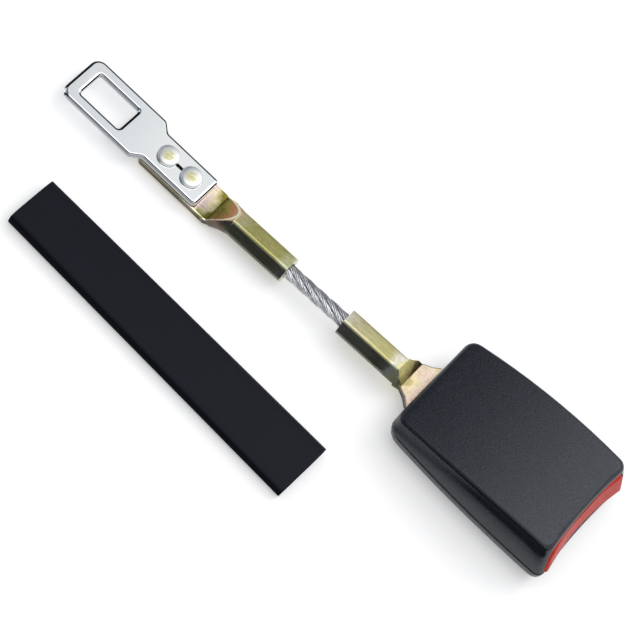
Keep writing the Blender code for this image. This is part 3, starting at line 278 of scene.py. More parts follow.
def round_upright(plate, x, radius, turn=math.pi / 2):
    """Round a plate's upright edges at one place along x, where its outline turns by an angle."""
    def is_upright(edge):
        start, end = (plate.data.vertices[i].co for i in edge.vertices)
        return (start.xy - end.xy).length < MERGE_DISTANCE and abs(start.x - x) < MERGE_DISTANCE

    select_parts(plate, "EDGE", plate.data.edges, is_upright)
    bevel_selected(radius * math.tan(turn / 2), CORNER_STEPS)


def add_block(name, middle, size):
    """A block at its size and place, with both in its mesh."""
    bpy.ops.object.select_all(action="DESELECT")
    bpy.ops.mesh.primitive_cube_add(size=1.0, location=middle, scale=size)
    block = bpy.context.object
    block.name = name
    bpy.ops.object.transform_apply(location=True, rotation=False, scale=True)
    return block


def add_turned(name, middle, rings):
    """A turned piece: a disc drawn up from foot to top, with each ring as (radius, height)."""
    radius, height = rings[0]
    bpy.ops.object.select_all(action="DESELECT")
    bpy.ops.mesh.primitive_circle_add(vertices=ROUND_STEPS, radius=radius, fill_type="NGON",
                                      location=(*middle, height))
    piece = bpy.context.object
    piece.name = name
    bpy.ops.object.transform_apply(location=True, rotation=False, scale=False)
    bpy.ops.object.mode_set(mode="EDIT")
    bpy.ops.mesh.select_all(action="SELECT")
    for next_radius, next_height in rings[1:]:
        bpy.ops.mesh.extrude_region_move(TRANSFORM_OT_translate={"value": (0.0, 0.0, next_height - height)})
        share = next_radius / radius
        bpy.ops.transform.resize(value=(share, share, 1.0), center_override=(*middle, next_height))
        radius, height = next_radius, next_height
    bpy.ops.mesh.select_all(action="SELECT")
    bpy.ops.mesh.remove_doubles(threshold=MERGE_DISTANCE)
    bpy.ops.mesh.normals_make_consistent(inside=False)
    bpy.ops.object.mode_set(mode="OBJECT")
    return piece


def cut(piece, cutter):
    """Cut a closed tool out of a piece and remove the tool."""
    apply_modifier(piece, "BOOLEAN", operation="DIFFERENCE", object=cutter, solver="EXACT")
    bpy.data.objects.remove(cutter)


def smooth(piece, sharper_than_deg=35.0):
    """Shade round faces smooth and keep flat ones flat up to their edges."""
    pick(piece)
    bpy.ops.object.shade_smooth_by_angle(angle=math.radians(sharper_than_deg))
    apply_modifier(piece, "WEIGHTED_NORMAL", keep_sharp=True, weight=70)


def dress(piece, material, body, slot, *nodes):
    """Give a piece its material and body, and put it in the place of the frame's solids. The slot is not
    used.
    """
    piece.data.materials.clear()
    piece.data.materials.append(material)
    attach(piece, body)
    if nodes:
        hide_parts(*nodes)
    return piece


def finish_node(node, material):
    """Give a solid of the frame its finish."""
    for place in frame["nodes"][node].material_slots:
        place.material = material


def new_material(name):
    """A node material, as (material, its tree, its Principled BSDF)."""
    material = bpy.data.materials.new(name)
    material.use_nodes = True
    return material, material.node_tree, material.node_tree.nodes["Principled BSDF"]


def add_node(tree, kind, values=None, links=None, **settings):
    """Add a node with its settings, the values of its sockets and the links into them."""
    node = tree.nodes.new(kind)
    for name, value in settings.items():
        setattr(node, name, value)
    for name, value in (values or {}).items():
        node.inputs[name].default_value = value
    for name, source in (links or {}).items():
        tree.links.new(source, node.inputs[name])
    return node


def set_stops(node, stops):
    """Set the stops of a colour ramp, each a place and an sRGB hex colour."""
    ramp = node.color_ramp
    while len(ramp.elements) < len(stops):
        ramp.elements.new(1.0)
    for element, (place, colour) in zip(ramp.elements, stops):
        element.position = place
        element.color = linear(colour)
    return node.outputs["Color"]


def cells(size_mm):
    """Texture scale at which one cell of a pattern is as wide as a size in millimetres."""
    return 1.0 / (size_mm * MM)


def chrome_plate():
    """Nickel-chrome plated steel plate, blanked: a bright face between rolled edges that carry painted
    reflections.
    """
    material, tree, shader = new_material("chrome_plate")
    place = add_node(tree, "ShaderNodeTexCoord")
    # Painted reflection: the base colour of the rolled edges is set by the way they face. It is painted
    # dark, pale grey or as a white highlight, for the dark and pale parts of the room that they mirror
    away = add_node(tree, "ShaderNodeVectorMath", {1: (-0.7, 1.0, 0.0)}, {0: place.outputs["Normal"]},
                    operation="DOT_PRODUCT")
    turn = add_node(tree, "ShaderNodeMapRange", {"From Min": -1.0}, {"Value": away.outputs["Value"]})
    edge = set_stops(add_node(tree, "ShaderNodeValToRGB", links={"Fac": turn.outputs["Result"]}),
                     [(0.02, "#b4b6b9"), (0.14, "#c9cbcd"), (0.20, "#232427"), (0.29, "#101113"),
                      (0.35, "#f8f9f9"), (0.45, "#f6f7f7"), (0.535, "#f6f7f7"), (0.56, "#0d0e10"),
                      (0.93, "#0d0e10"), (1.0, "#333437")])
    cloud = add_node(tree, "ShaderNodeTexNoise", {"Scale": cells(34), "Detail": 1.0},
                     {"Vector": place.outputs["Object"]})
    veil = set_stops(add_node(tree, "ShaderNodeValToRGB", links={"Fac": cloud.outputs["Fac"]}),
                     [(0.35, "#f3f6fa"), (0.65, "#ffffff")])
    tint = add_node(tree, "ShaderNodeMix", {0: 1.0}, {6: edge, 7: veil}, data_type="RGBA",
                    blend_type="MULTIPLY")
    tree.links.new(tint.outputs[2], shader.inputs["Base Color"])
    # Fine buffing haze, drawn at 2 mm because the real lines are too fine to show
    haze = add_node(tree, "ShaderNodeTexNoise", {"Scale": cells(2), "Detail": 4.0},
                    {"Vector": place.outputs["Object"]})
    gloss = add_node(tree, "ShaderNodeMapRange", {"To Min": 0.08, "To Max": 0.18},
                     {"Value": haze.outputs["Fac"]})
    tree.links.new(gloss.outputs["Result"], shader.inputs["Roughness"])
    shader.inputs["Metallic"].default_value = 1.0
    return material


def rivet_plate(name, middle):
    """Thinly chromated steel rivet: a light grey dome with a mottled yellow bloom where it was set."""
    material, tree, shader = new_material(name)
    place = add_node(tree, "ShaderNodeTexCoord")
    mottle = add_node(tree, "ShaderNodeTexNoise", {"Scale": cells(1.6), "Detail": 3.0, "Roughness": 0.6},
                      {"Vector": place.outputs["Object"]})
    bloom = set_stops(add_node(tree, "ShaderNodeValToRGB", links={"Fac": mottle.outputs["Fac"]}),
                      [(0.32, "#e4e4d0"), (0.45, "#d5d2ac"), (0.58, "#c4bf90"), (0.72, "#dcd9c0")])
    off = add_node(tree, "ShaderNodeVectorMath", {1: middle}, {0: place.outputs["Object"]},
                   operation="SUBTRACT")
    flat = add_node(tree, "ShaderNodeVectorMath", {1: (1.0, 1.0, 0.0)}, {0: off.outputs["Vector"]},
                    operation="MULTIPLY")
    reach = add_node(tree, "ShaderNodeVectorMath", links={0: flat.outputs["Vector"]}, operation="LENGTH")
    ragged = add_node(tree, "ShaderNodeMath", {1: 1.6 * MM, 2: -0.8 * MM}, {0: mottle.outputs["Fac"]},
                      operation="MULTIPLY_ADD")
    rim = add_node(tree, "ShaderNodeMath", links={0: reach.outputs["Value"], 1: ragged.outputs[0]},
                   operation="ADD")
    # The bloom fades out at the ragged rim of the set's mark
    share = add_node(tree, "ShaderNodeMapRange", {"From Min": 2.5 * MM, "From Max": 1.9 * MM},
                     {"Value": rim.outputs[0]})
    tint = add_node(tree, "ShaderNodeMix", {6: linear("#dfe1e1")}, {0: share.outputs["Result"], 7: bloom},
                    data_type="RGBA")
    tree.links.new(tint.outputs[2], shader.inputs["Base Color"])
    gloss = add_node(tree, "ShaderNodeMapRange", {"To Min": 0.36, "To Max": 0.56},
                     {"Value": mottle.outputs["Fac"]})
    tree.links.new(gloss.outputs["Result"], shader.inputs["Roughness"])
    bump = add_node(tree, "ShaderNodeBump", {"Strength": 0.2, "Distance": 0.05 * MM},
                    {"Height": mottle.outputs["Fac"]})
    tree.links.new(bump.outputs["Normal"], shader.inputs["Normal"])
    shader.inputs["Metallic"].default_value = 1.0
    return material


def along_terminals(stops):
    """Ramp stops from places in millimetres along the terminals."""
    first, last = FILM_AND_REFLECTION_RUN[0][0], FILM_AND_REFLECTION_RUN[-1][0]
    return [((x - first) / (last - first), colour) for x, colour in stops]


def zinc_film(tree, place):
    """The film's colour along the terminals, with a painted highlight on the rim of the scoop, and the
    share of their run that it is read at.
    """
    parts = add_node(tree, "ShaderNodeSeparateXYZ", links={"Vector": place})
    wander = add_node(tree, "ShaderNodeTexNoise", {"Scale": cells(5), "Detail": 3.0, "Roughness": 0.6},
                      {"Vector": place})
    warp = add_node(tree, "ShaderNodeMath", {1: ZINC_WANDER, 2: -ZINC_WANDER / 2},
                    {0: wander.outputs["Fac"]}, operation="MULTIPLY_ADD")
    off = add_node(tree, "ShaderNodeMath", {1: SLEEVE_Y}, {0: parts.outputs["Y"]}, operation="SUBTRACT")
    square = add_node(tree, "ShaderNodeMath", {1: 2.0}, {0: off.outputs[0]}, operation="POWER")
    bowed = add_node(tree, "ShaderNodeMath", {1: ZINC_BOW}, {0: square.outputs[0], 2: warp.outputs[0]},
                     operation="MULTIPLY_ADD")
    run = add_node(tree, "ShaderNodeMath", links={0: parts.outputs["X"], 1: bowed.outputs[0]},
                   operation="ADD")
    share = add_node(tree, "ShaderNodeMapRange",
                     {"From Min": FILM_AND_REFLECTION_RUN[0][0] * MM, "From Max": FILM_AND_REFLECTION_RUN[-1][0] * MM},
                     {"Value": run.outputs[0]}).outputs["Result"]
    film = set_stops(add_node(tree, "ShaderNodeValToRGB", links={"Fac": share}), along_terminals(FILM_AND_REFLECTION_RUN))
    # Painted highlight: a pale cream line along the rim of the scoop, where the rounded crest catches the
    # light
    rim = add_node(tree, "ShaderNodeMath", {1: RIM_BOW}, {0: square.outputs[0], 2: parts.outputs["X"]},
                   operation="MULTIPLY_ADD")
    from_rim = add_node(tree, "ShaderNodeMath", {1: RIM_X}, {0: rim.outputs[0]}, operation="SUBTRACT")
    beside = add_node(tree, "ShaderNodeMath", links={0: from_rim.outputs[0]}, operation="ABSOLUTE")
    bright = add_node(tree, "ShaderNodeMapRange", {"From Min": RIM_HIGHLIGHT_FADE[0], "From Max": RIM_HIGHLIGHT_FADE[1]},
                      {"Value": beside.outputs[0]})
    both = add_node(tree, "ShaderNodeMix", {7: linear("#fff9dc")}, {0: bright.outputs["Result"], 6: film},
                    data_type="RGBA")
    return both.outputs[2], share


def yellow_zinc():
    """Yellow chromated zinc on pressed steel: a thin film that runs from pink to cream and olive."""
    material, tree, shader = new_material("yellow_chromated_zinc")
    place = add_node(tree, "ShaderNodeTexCoord")
    film, share = zinc_film(tree, place.outputs["Object"])
    # Painted shade: the faces that look along -y are mixed towards a dark grey, for the dark side of the
    # room that they mirror
    tilt = add_node(tree, "ShaderNodeSeparateXYZ", links={"Vector": place.outputs["Normal"]})
    side = add_node(tree, "ShaderNodeMapRange", {"From Min": -0.45, "From Max": -0.8, "To Max": 0.8},
                    {"Value": tilt.outputs["Y"]})
    painted_side_shade = add_node(tree, "ShaderNodeMix", {7: linear("#4e545b")}, {0: side.outputs["Result"], 6: film},
                      data_type="RGBA")
    mottle = add_node(tree, "ShaderNodeTexNoise", {"Scale": cells(2.2), "Detail": 3.0},
                      {"Vector": place.outputs["Object"]})
    cast = set_stops(add_node(tree, "ShaderNodeValToRGB", links={"Fac": mottle.outputs["Fac"]}),
                     [(0.32, "#e9d9dc"), (0.48, "#ffffff"), (0.66, "#e6ecd2")])
    tint = add_node(tree, "ShaderNodeMix", {0: 0.6}, {6: painted_side_shade.outputs[2], 7: cast}, data_type="RGBA",
                    blend_type="MULTIPLY")
    # Drawing lines of the tube, 0.5 mm apart because the real ones are too fine to show
    lines = add_node(tree, "ShaderNodeMapping", {"Scale": (0.06, 1.0, 1.0)},
                     {"Vector": place.outputs["Object"]})
    brush = add_node(tree, "ShaderNodeTexNoise", {"Scale": cells(0.5), "Detail": 2.0},
                     {"Vector": lines.outputs["Vector"]})
    shade = set_stops(add_node(tree, "ShaderNodeValToRGB", links={"Fac": brush.outputs["Fac"]}),
                      [(0.3, "#dcdad4"), (0.6, "#ffffff")])
    both = add_node(tree, "ShaderNodeMix", {0: 0.5}, {6: tint.outputs[2], 7: shade}, data_type="RGBA",
                    blend_type="MULTIPLY")
    tree.links.new(both.outputs[2], shader.inputs["Base Color"])
    gloss = add_node(tree, "ShaderNodeMapRange", {"To Min": 0.22, "To Max": 0.34},
                     {"Value": brush.outputs["Fac"]})
    # The pressed step behind the buckle is matt
    matt = set_stops(add_node(tree, "ShaderNodeValToRGB", links={"Fac": share}), along_terminals(MATT_STEP))
    rough = add_node(tree, "ShaderNodeMath", links={0: gloss.outputs["Result"], 1: matt}, operation="ADD")
    tree.links.new(rough.outputs[0], shader.inputs["Roughness"])
    bump = add_node(tree, "ShaderNodeBump", {"Strength": 0.08, "Distance": 0.02 * MM},
                    {"Height": brush.outputs["Fac"]})
    tree.links.new(bump.outputs["Normal"], shader.inputs["Normal"])
    shader.inputs["Metallic"].default_value = 1.0
    return material


def galvanised_wire():
    """Galvanised rope wire: dull bright zinc with a slight lilac cast."""
    material, tree, shader = new_material("galvanised_wire")
    place = add_node(tree, "ShaderNodeTexCoord")
    spangle = add_node(tree, "ShaderNodeTexNoise", {"Scale": cells(1.2), "Detail": 3.0},
                       {"Vector": place.outputs["Object"]})
    tint = set_stops(add_node(tree, "ShaderNodeValToRGB", links={"Fac": spangle.outputs["Fac"]}),
                     [(0.3, "#a3a4a8"), (0.7, "#e4e4e7")])
    tree.links.new(tint, shader.inputs["Base Color"])
    gloss = add_node(tree, "ShaderNodeMapRange", {"To Min": 0.22, "To Max": 0.38},
                     {"Value": spangle.outputs["Fac"]})
    tree.links.new(gloss.outputs["Result"], shader.inputs["Roughness"])
    shader.inputs["Metallic"].default_value = 1.0
    return material


def steep_band(tree, place):
    """1 on the steep wall below the arched top, towards the front, which is polished and not grained."""
    low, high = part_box("upper_cover")
    parts = add_node(tree, "ShaderNodeSeparateXYZ", links={"Vector": place})
    share = add_node(tree, "ShaderNodeMapRange", {"From Min": low.x, "From Max": low.x + BUCKLE_LENGTH},
                     {"Value": parts.outputs["X"]}).outputs["Result"]
    # Height of the top: a straight line from the rear to the front, and a parabola as high as the crown
    slope = add_node(tree, "ShaderNodeMath", {1: -4 * CROWN, 2: high.z - REAR_HEIGHT + 4 * CROWN},
                     {0: share}, operation="MULTIPLY_ADD")
    top = add_node(tree, "ShaderNodeMath", {2: REAR_HEIGHT}, {0: slope.outputs[0], 1: share},
                   operation="MULTIPLY_ADD")
    depth = add_node(tree, "ShaderNodeMath", links={0: top.outputs[0], 1: parts.outputs["Z"]},
                     operation="SUBTRACT")
    down = add_node(tree, "ShaderNodeMapRange", {"From Max": BAND_FOOT}, {"Value": depth.outputs[0]})
    band = set_stops(add_node(tree, "ShaderNodeValToRGB", links={"Fac": down.outputs["Result"]}),
                     [(0.10, "#000000"), (0.22, "#ffffff"), (0.70, "#ffffff"), (1.0, "#000000")])
    fade = add_node(tree, "ShaderNodeMapRange", {"From Min": BAND_FADE[0], "From Max": BAND_FADE[1]},
                    {"Value": parts.outputs["X"]})
    return add_node(tree, "ShaderNodeMath", links={0: band, 1: fade.outputs["Result"]},
                    operation="MULTIPLY").outputs[0]


def moulded_plastic(name, colour, grain_mm, grain_depth_mm, roughness, shine=0.5, shine_colour="#ffffff",
                    speckle=1.0, band=False):
    """Injection moulded plastic, with the fine grain of a spark eroded mould breaking up its shine."""
    material, tree, shader = new_material(name)
    place = add_node(tree, "ShaderNodeTexCoord")
    # Grain and its speckle, at least five times as coarse as the real 0.1 mm so that they show. The speckle
    # in the base colour is partly a painted glint, for the broken highlights of the grain
    grain = add_node(tree, "ShaderNodeTexNoise",
                     {"Scale": cells(grain_mm), "Detail": 3.0, "Roughness": 0.7},
                     {"Vector": place.outputs["Object"]})
    cloud = add_node(tree, "ShaderNodeTexNoise", {"Scale": cells(9), "Detail": 2.0},
                     {"Vector": place.outputs["Object"]})
    worn = add_node(tree, "ShaderNodeMapRange", {"To Min": 0.82, "To Max": 1.18},
                    {"Value": cloud.outputs["Fac"]})
    fleck_and_glint = add_node(tree, "ShaderNodeMapRange", {"From Min": 0.35, "From Max": 0.65,
                                                  "To Min": 2.0 - speckle, "To Max": speckle},
                     {"Value": grain.outputs["Fac"]})
    tone = add_node(tree, "ShaderNodeMath", links={0: worn.outputs["Result"], 1: fleck_and_glint.outputs["Result"]},
                    operation="MULTIPLY")
    tint = add_node(tree, "ShaderNodeVectorMath", {0: colour[:3]}, operation="SCALE")
    tree.links.new(tone.outputs[0], tint.inputs["Scale"])
    tree.links.new(tint.outputs["Vector"], shader.inputs["Base Color"])
    gloss = add_node(tree, "ShaderNodeMapRange", {"From Min": 0.35, "From Max": 0.65,
                                                  "To Min": roughness - 0.09, "To Max": roughness + 0.09},
                     {"Value": grain.outputs["Fac"]})
    rough = gloss.outputs["Result"]
    bump = add_node(tree, "ShaderNodeBump", {"Strength": 1.0, "Distance": grain_depth_mm * MM},
                    {"Height": grain.outputs["Fac"]})
    if band:
        bare = steep_band(tree, place.outputs["Object"])
        left = add_node(tree, "ShaderNodeMath", {0: 1.0}, {1: bare}, operation="SUBTRACT")
        tree.links.new(left.outputs[0], bump.inputs["Strength"])
        rough = add_node(tree, "ShaderNodeMix", {3: POLISHED_ROUGHNESS}, {0: bare, 2: rough}).outputs[0]
    tree.links.new(rough, shader.inputs["Roughness"])
    tree.links.new(bump.outputs["Normal"], shader.inputs["Normal"])
    shader.inputs["Specular IOR Level"].default_value = shine
    shader.inputs["Specular Tint"].default_value = linear(shine_colour)
    return material


def vinyl_tube():
    """Extruded vinyl tube: black, half dull, with faint draw lines along it."""
    material, tree, shader = new_material("extruded_vinyl")
    place = add_node(tree, "ShaderNodeTexCoord")
    along = add_node(tree, "ShaderNodeMapping", {"Scale": (0.05, 1.0, 1.0)},
                     {"Vector": place.outputs["Object"]})
    lines = add_node(tree, "ShaderNodeTexNoise", {"Scale": cells(0.9), "Detail": 3.0},
                     {"Vector": along.outputs["Vector"]})
    tint = add_node(tree, "ShaderNodeVectorMath", {0: colours().sleeve[:3]}, operation="SCALE")
    worn = add_node(tree, "ShaderNodeMapRange", {"To Min": 0.4, "To Max": 1.6},
                    {"Value": lines.outputs["Fac"]})
    tree.links.new(worn.outputs["Result"], tint.inputs["Scale"])
    tree.links.new(tint.outputs["Vector"], shader.inputs["Base Color"])
    shader.inputs["Specular IOR Level"].default_value = 0.18
    shader.inputs["Specular Tint"].default_value = linear("#e2e6f4")
    gloss = add_node(tree, "ShaderNodeMapRange", {"To Min": 0.40, "To Max": 0.55},
                     {"Value": lines.outputs["Fac"]})
    tree.links.new(gloss.outputs["Result"], shader.inputs["Roughness"])
    bump = add_node(tree, "ShaderNodeBump", {"Strength": 0.25, "Distance": 0.05 * MM},
                    {"Height": lines.outputs["Fac"]})
    tree.links.new(bump.outputs["Normal"], shader.inputs["Normal"])
    return material


def plain_steel(name, hex_dark, hex_light, roughness):
    """Cold rolled steel as blanked or drawn: grey, with fine lines along the buckle."""
    material, tree, shader = new_material(name)
    place = add_node(tree, "ShaderNodeTexCoord")
    # Rolling lines, 0.6 mm apart because the real ones are too fine to show
    along = add_node(tree, "ShaderNodeMapping", {"Scale": (0.1, 1.0, 1.0)},
                     {"Vector": place.outputs["Object"]})
    lines = add_node(tree, "ShaderNodeTexNoise", {"Scale": cells(0.6), "Detail": 3.0},
                     {"Vector": along.outputs["Vector"]})
    tint = set_stops(add_node(tree, "ShaderNodeValToRGB", links={"Fac": lines.outputs["Fac"]}),
                     [(0.3, hex_dark), (0.7, hex_light)])
    tree.links.new(tint, shader.inputs["Base Color"])
    gloss = add_node(tree, "ShaderNodeMapRange", {"To Min": roughness - 0.07, "To Max": roughness + 0.07},
                     {"Value": lines.outputs["Fac"]})
    tree.links.new(gloss.outputs["Result"], shader.inputs["Roughness"])
    shader.inputs["Metallic"].default_value = 1.0
    return material


def seen_rays(tree):
    """Links that are 1 for camera, glossy and transmission rays, for a maximum of two values."""
    path = add_node(tree, "ShaderNodeLightPath")
    first = add_node(tree, "ShaderNodeMath", operation="MAXIMUM",
                     links={0: path.outputs["Is Camera Ray"], 1: path.outputs["Is Glossy Ray"]})
    return {0: first.outputs[0], 1: path.outputs["Is Transmission Ray"]}


class EXTENDER_OT_stage(Operator):
    """Add the camera, the floor, the lamps and the dark walls that the plated metal mirrors"""
    bl_idname = "extender.stage"
    bl_label = "Stage"

    def add_camera(self):
        """Place the camera of the reference view."""
        up = CAMERA_BACK.cross(CAMERA_RIGHT).normalized()
        right = up.cross(CAMERA_BACK)
        turn = Matrix((right, up, CAMERA_BACK)).transposed().to_4x4()
        bpy.ops.object.camera_add()
        camera = bpy.context.object
        place = CAMERA_TARGET + CAMERA_BACK * sizes().camera_distance
        camera.matrix_world = Matrix.Translation(place) @ turn
        camera.data.lens = sizes().camera_lens
        camera.data.sensor_width = 36.0
        camera.data.clip_start = 0.01
        bpy.context.scene.camera = camera

    def add_floor(self):
        """A white floor that still takes the soft shadow of the extender."""
        bpy.ops.mesh.primitive_plane_add(size=FLOOR_SIZE, location=(0.0, 0.0, -FLOOR_DROP))
        floor = bpy.context.object
        floor.name = "studio_floor"
        material, tree, shader = new_material("studio_floor")
        shader.inputs["Base Color"].default_value = colours().floor
        shader.inputs["Roughness"].default_value = 0.9
        shader.inputs["Specular IOR Level"].default_value = 0.0
        shader.inputs["Emission Color"].default_value = linear("#ffffff")
        seen = add_node(tree, "ShaderNodeMath", links=seen_rays(tree), operation="MAXIMUM")
        # Far from the lamps the floor glows more, so that low views show it white too
        place = add_node(tree, "ShaderNodeTexCoord")
        reach = add_node(tree, "ShaderNodeVectorMath", links={0: place.outputs["Object"]},
                         operation="LENGTH")
        level = add_node(tree, "ShaderNodeMapRange", {"From Min": GLOW_REACH[0], "From Max": GLOW_REACH[1],
                                                      "To Min": GLOW[0], "To Max": GLOW[1]},
                         {"Value": reach.outputs["Value"]})
        glow = add_node(tree, "ShaderNodeMath", links={0: seen.outputs[0], 1: level.outputs["Result"]},
                        operation="MULTIPLY")
        tree.links.new(glow.outputs[0], shader.inputs["Emission Strength"])
        floor.data.materials.append(material)

    def add_dark_wall(self, name, hex_colour, middle, tilt_deg, size):
        """A dark wall of the studio that only shows in reflections."""
        bpy.ops.mesh.primitive_plane_add(size=1.0, location=middle,
                                         rotation=(math.radians(tilt_deg), 0.0, 0.0))
        wall = bpy.context.object
        wall.name = name
        wall.scale = (*size, 1.0)
        material, tree, shader = new_material(name)
        shader.inputs["Base Color"].default_value = linear("#000000")
        shader.inputs["Specular IOR Level"].default_value = 0.0
        shader.inputs["Emission Color"].default_value = linear(hex_colour)
        shader.inputs["Emission Strength"].default_value = 1.0
        wall.data.materials.append(material)
        wall.visible_camera = False
        wall.visible_diffuse = False
        wall.visible_shadow = False
        wall.visible_transmission = False

    def add_lamp(self, name, place, size, power):
        """A square soft lamp aimed at the extender."""
        bpy.ops.object.light_add(type="AREA", location=place)
        lamp = bpy.context.object
        lamp.name = name
        lamp.data.shape = "SQUARE"
        lamp.data.size = size
        lamp.data.energy = power
        lamp.rotation_euler = (CAMERA_TARGET - Vector(place)).to_track_quat("-Z", "Y").to_euler()

    def add_room(self):
        """The world: white where it is seen, and darker towards the rear where metal mirrors it."""
        world = bpy.data.worlds.new("studio")
        world.use_nodes = True
        tree = world.node_tree
        path = add_node(tree, "ShaderNodeLightPath")
        seen = add_node(tree, "ShaderNodeMath", operation="MAXIMUM",
                        links={0: path.outputs["Is Camera Ray"], 1: path.outputs["Is Transmission Ray"]})
        place = add_node(tree, "ShaderNodeTexCoord")
        parts = add_node(tree, "ShaderNodeSeparateXYZ", links={"Vector": place.outputs["Generated"]})
        across = add_node(tree, "ShaderNodeMapRange", {"From Min": -1.0, "From Max": 0.1},
                          {"Value": parts.outputs["X"]})
        room = set_stops(add_node(tree, "ShaderNodeValToRGB", links={"Fac": across.outputs["Result"]}),
                         [(0.0, "#dfe2e6"), (0.27, "#a4abb6"), (0.45, "#3b424e"), (0.57, "#535b66"),
                          (0.68, "#a9afb8"), (0.78, "#f2f3f3"), (1.0, "#ffffff")])
        lit = add_node(tree, "ShaderNodeMix", {6: linear(FILL_LIGHT)},
                       {0: path.outputs["Is Glossy Ray"], 7: room}, data_type="RGBA")
        level = add_node(tree, "ShaderNodeMix", {7: linear("#ffffff")},
                         {0: seen.outputs[0], 6: lit.outputs[2]}, data_type="RGBA")
        tree.links.new(level.outputs[2], tree.nodes["Background"].inputs["Color"])
        return world

    def execute(self, context):
        self.add_camera()
        self.add_floor()
        for name, wall in DARK_WALLS.items():
            self.add_dark_wall(name, *wall)
        for name, lamp in LAMPS.items():
            self.add_lamp(name, *lamp)
        context.scene.world = self.add_room()
        context.scene.view_settings.view_transform = "Standard"
        return {"FINISHED"}


class EXTENDER_OT_tongue(Operator):
    """Add the chromed tongue plate and its two rivets"""
    bl_idname = "extender.tongue"
    bl_label = "Tongue"

    def add_blade(self, middle_y):
        """The blanked plate with its latch window, rivet holes and the slot between them."""
        width = TONGUE_HIGH.y - TONGUE_LOW.y
        thickness = TONGUE_HIGH.z - TONGUE_LOW.z
        middle_z = (TONGUE_LOW.z + TONGUE_HIGH.z) / 2
        tip, end = TONGUE_LOW.x, TONGUE_HIGH.x
        blade_end = tip + BLADE_LENGTH
        shank_start = blade_end + SHOULDER_LENGTH
        plate = add_block("chromed_tongue", ((tip + blade_end) / 2, middle_y, middle_z),
                          (BLADE_LENGTH, width, thickness))
        select_parts(plate, "FACE", plate.data.polygons, lambda face: face.normal.x > 0.5)
        bpy.ops.mesh.extrude_region_move(TRANSFORM_OT_translate={"value": (SHOULDER_LENGTH, 0.0, 0.0)})
        bpy.ops.transform.resize(value=(1.0, SHANK_WIDTH / width, 1.0),
                                 center_override=(shank_start, middle_y, middle_z))
        bpy.ops.mesh.extrude_region_move(TRANSFORM_OT_translate={"value": (end - shank_start, 0.0, 0.0)})
        bpy.ops.mesh.select_all(action="SELECT")
        bpy.ops.mesh.dissolve_limited(angle_limit=FLAT_ANGLE)
        bpy.ops.object.mode_set(mode="OBJECT")
        turn = math.atan2((width - SHANK_WIDTH) / 2, SHOULDER_LENGTH)
        round_upright(plate, tip, TIP_RADIUS)
        round_upright(plate, blade_end, SHOULDER_RADIUS, turn)
        round_upright(plate, shank_start, SHOULDER_RADIUS, turn)
        round_upright(plate, end, SHANK_END_RADIUS)
        self.cut_window(plate, (tip + TIP_BAR + WINDOW_LENGTH / 2, middle_y, middle_z))
        round_edges(plate, sizes().plate_edge, segments=ROLL_STEPS, clamp=False)
        for x in RIVET_X.values():
            bpy.ops.mesh.primitive_cylinder_add(vertices=32, radius=RIVET_SHANK_RADIUS + RIVET_HOLE_GAP,
                                                depth=CUT_DEPTH, location=(x, middle_y, middle_z))
            cut(plate, bpy.context.object)
        between = (RIVET_X["front"] + RIVET_X["rear"]) / 2
        cut(plate, add_block("slot_tool", (between, middle_y, middle_z),
                             (RIVET_X["rear"] - RIVET_X["front"], RIVET_SLOT_WIDTH, CUT_DEPTH)))
        return plate

    def cut_window(self, plate, middle):
        """Cut the window that the pawl drops into."""
        tool = add_block("window_tool", middle, (WINDOW_LENGTH, WINDOW_WIDTH, CUT_DEPTH))
        for side in (-1, 1):
            round_upright(tool, middle[0] + side * WINDOW_LENGTH / 2, WINDOW_CORNER_RADIUS)
        cut(plate, tool)

    def rivet_rings(self):
        """Rings of a rivet from its flat foot up to its low crowned head, as (radius, height)."""
        seat = TONGUE_HIGH.z + RIVET_SEAT_GAP
        inwards, upwards = RIVET_FOOT_CHAMFER
        rings = [(RIVET_FOOT_RADIUS - inwards, 0.0), (RIVET_FOOT_RADIUS, upwards),
                 (RIVET_FOOT_RADIUS, RIVET_FOOT_HEIGHT), (RIVET_SHANK_RADIUS, RIVET_FOOT_HEIGHT),
                 (RIVET_SHANK_RADIUS, seat), (RIVET_HEAD_RADIUS, seat)]
        in_power, up_power = RIVET_CROWN_POWERS
        for step in range(RIVET_CROWN_STEPS + 1):
            turn = math.pi / 2 * step / RIVET_CROWN_STEPS
            rings.append((RIVET_HEAD_RADIUS * max(0.0, math.cos(turn)) ** in_power,
                          seat + RIVET_HEAD_RIM + RIVET_CROWN * math.sin(turn) ** up_power))
        return rings

    def execute(self, context):
        middle_y = (TONGUE_LOW.y + TONGUE_HIGH.y) / 2
        plate = self.add_blade(middle_y)
        smooth(plate)
        dress(plate, chrome_plate(), "extender", "chrome", "tongue_plate")
        for place, x in RIVET_X.items():
            middle = Vector((x, middle_y))
            rivet = add_turned("domed_rivet_" + place, middle, self.rivet_rings())
            smooth(rivet)
            material = rivet_plate("chromated_rivet_" + place, (*(middle + BLOOM_SHIFT), 0.0))
            dress(rivet, material, "extender", "rivet_steel", "tongue_rivet_" + place)
        return {"FINISHED"}


def round_hexagon(terminal, width):
    """Give the six long corners of a sleeve the round that the crimping die leaves on them."""
    low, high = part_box(terminal.name.replace("pressed_", ""))
    middle = Vector((SLEEVE_Y, (low.z + high.z) / 2))
    rope_middle = (ROPE_START.x + ROPE_END.x) / 2
    rope_end = min(low.x, high.x, key=lambda x: abs(x - rope_middle))

    def on_sleeve(vertex):
        place = vertex.co
        return abs(place.x - rope_end) < SLEEVE_LENGTH and (place.yz - middle).length > BORE_CLEAR_RADIUS

    def is_corner(edge):
        start, end = (terminal.data.vertices[i] for i in edge.vertices)
        return on_sleeve(start) and on_sleeve(end) and abs(start.co.x - end.co.x) > LONG_EDGE

    select_parts(terminal, "VERT", terminal.data.vertices, on_sleeve)
    bpy.ops.mesh.remove_doubles(threshold=SHARP_EDGE_BREAK)
    bpy.ops.object.mode_set(mode="OBJECT")
    select_parts(terminal, "EDGE", terminal.data.edges, is_corner)
    bevel_selected(width, 3)


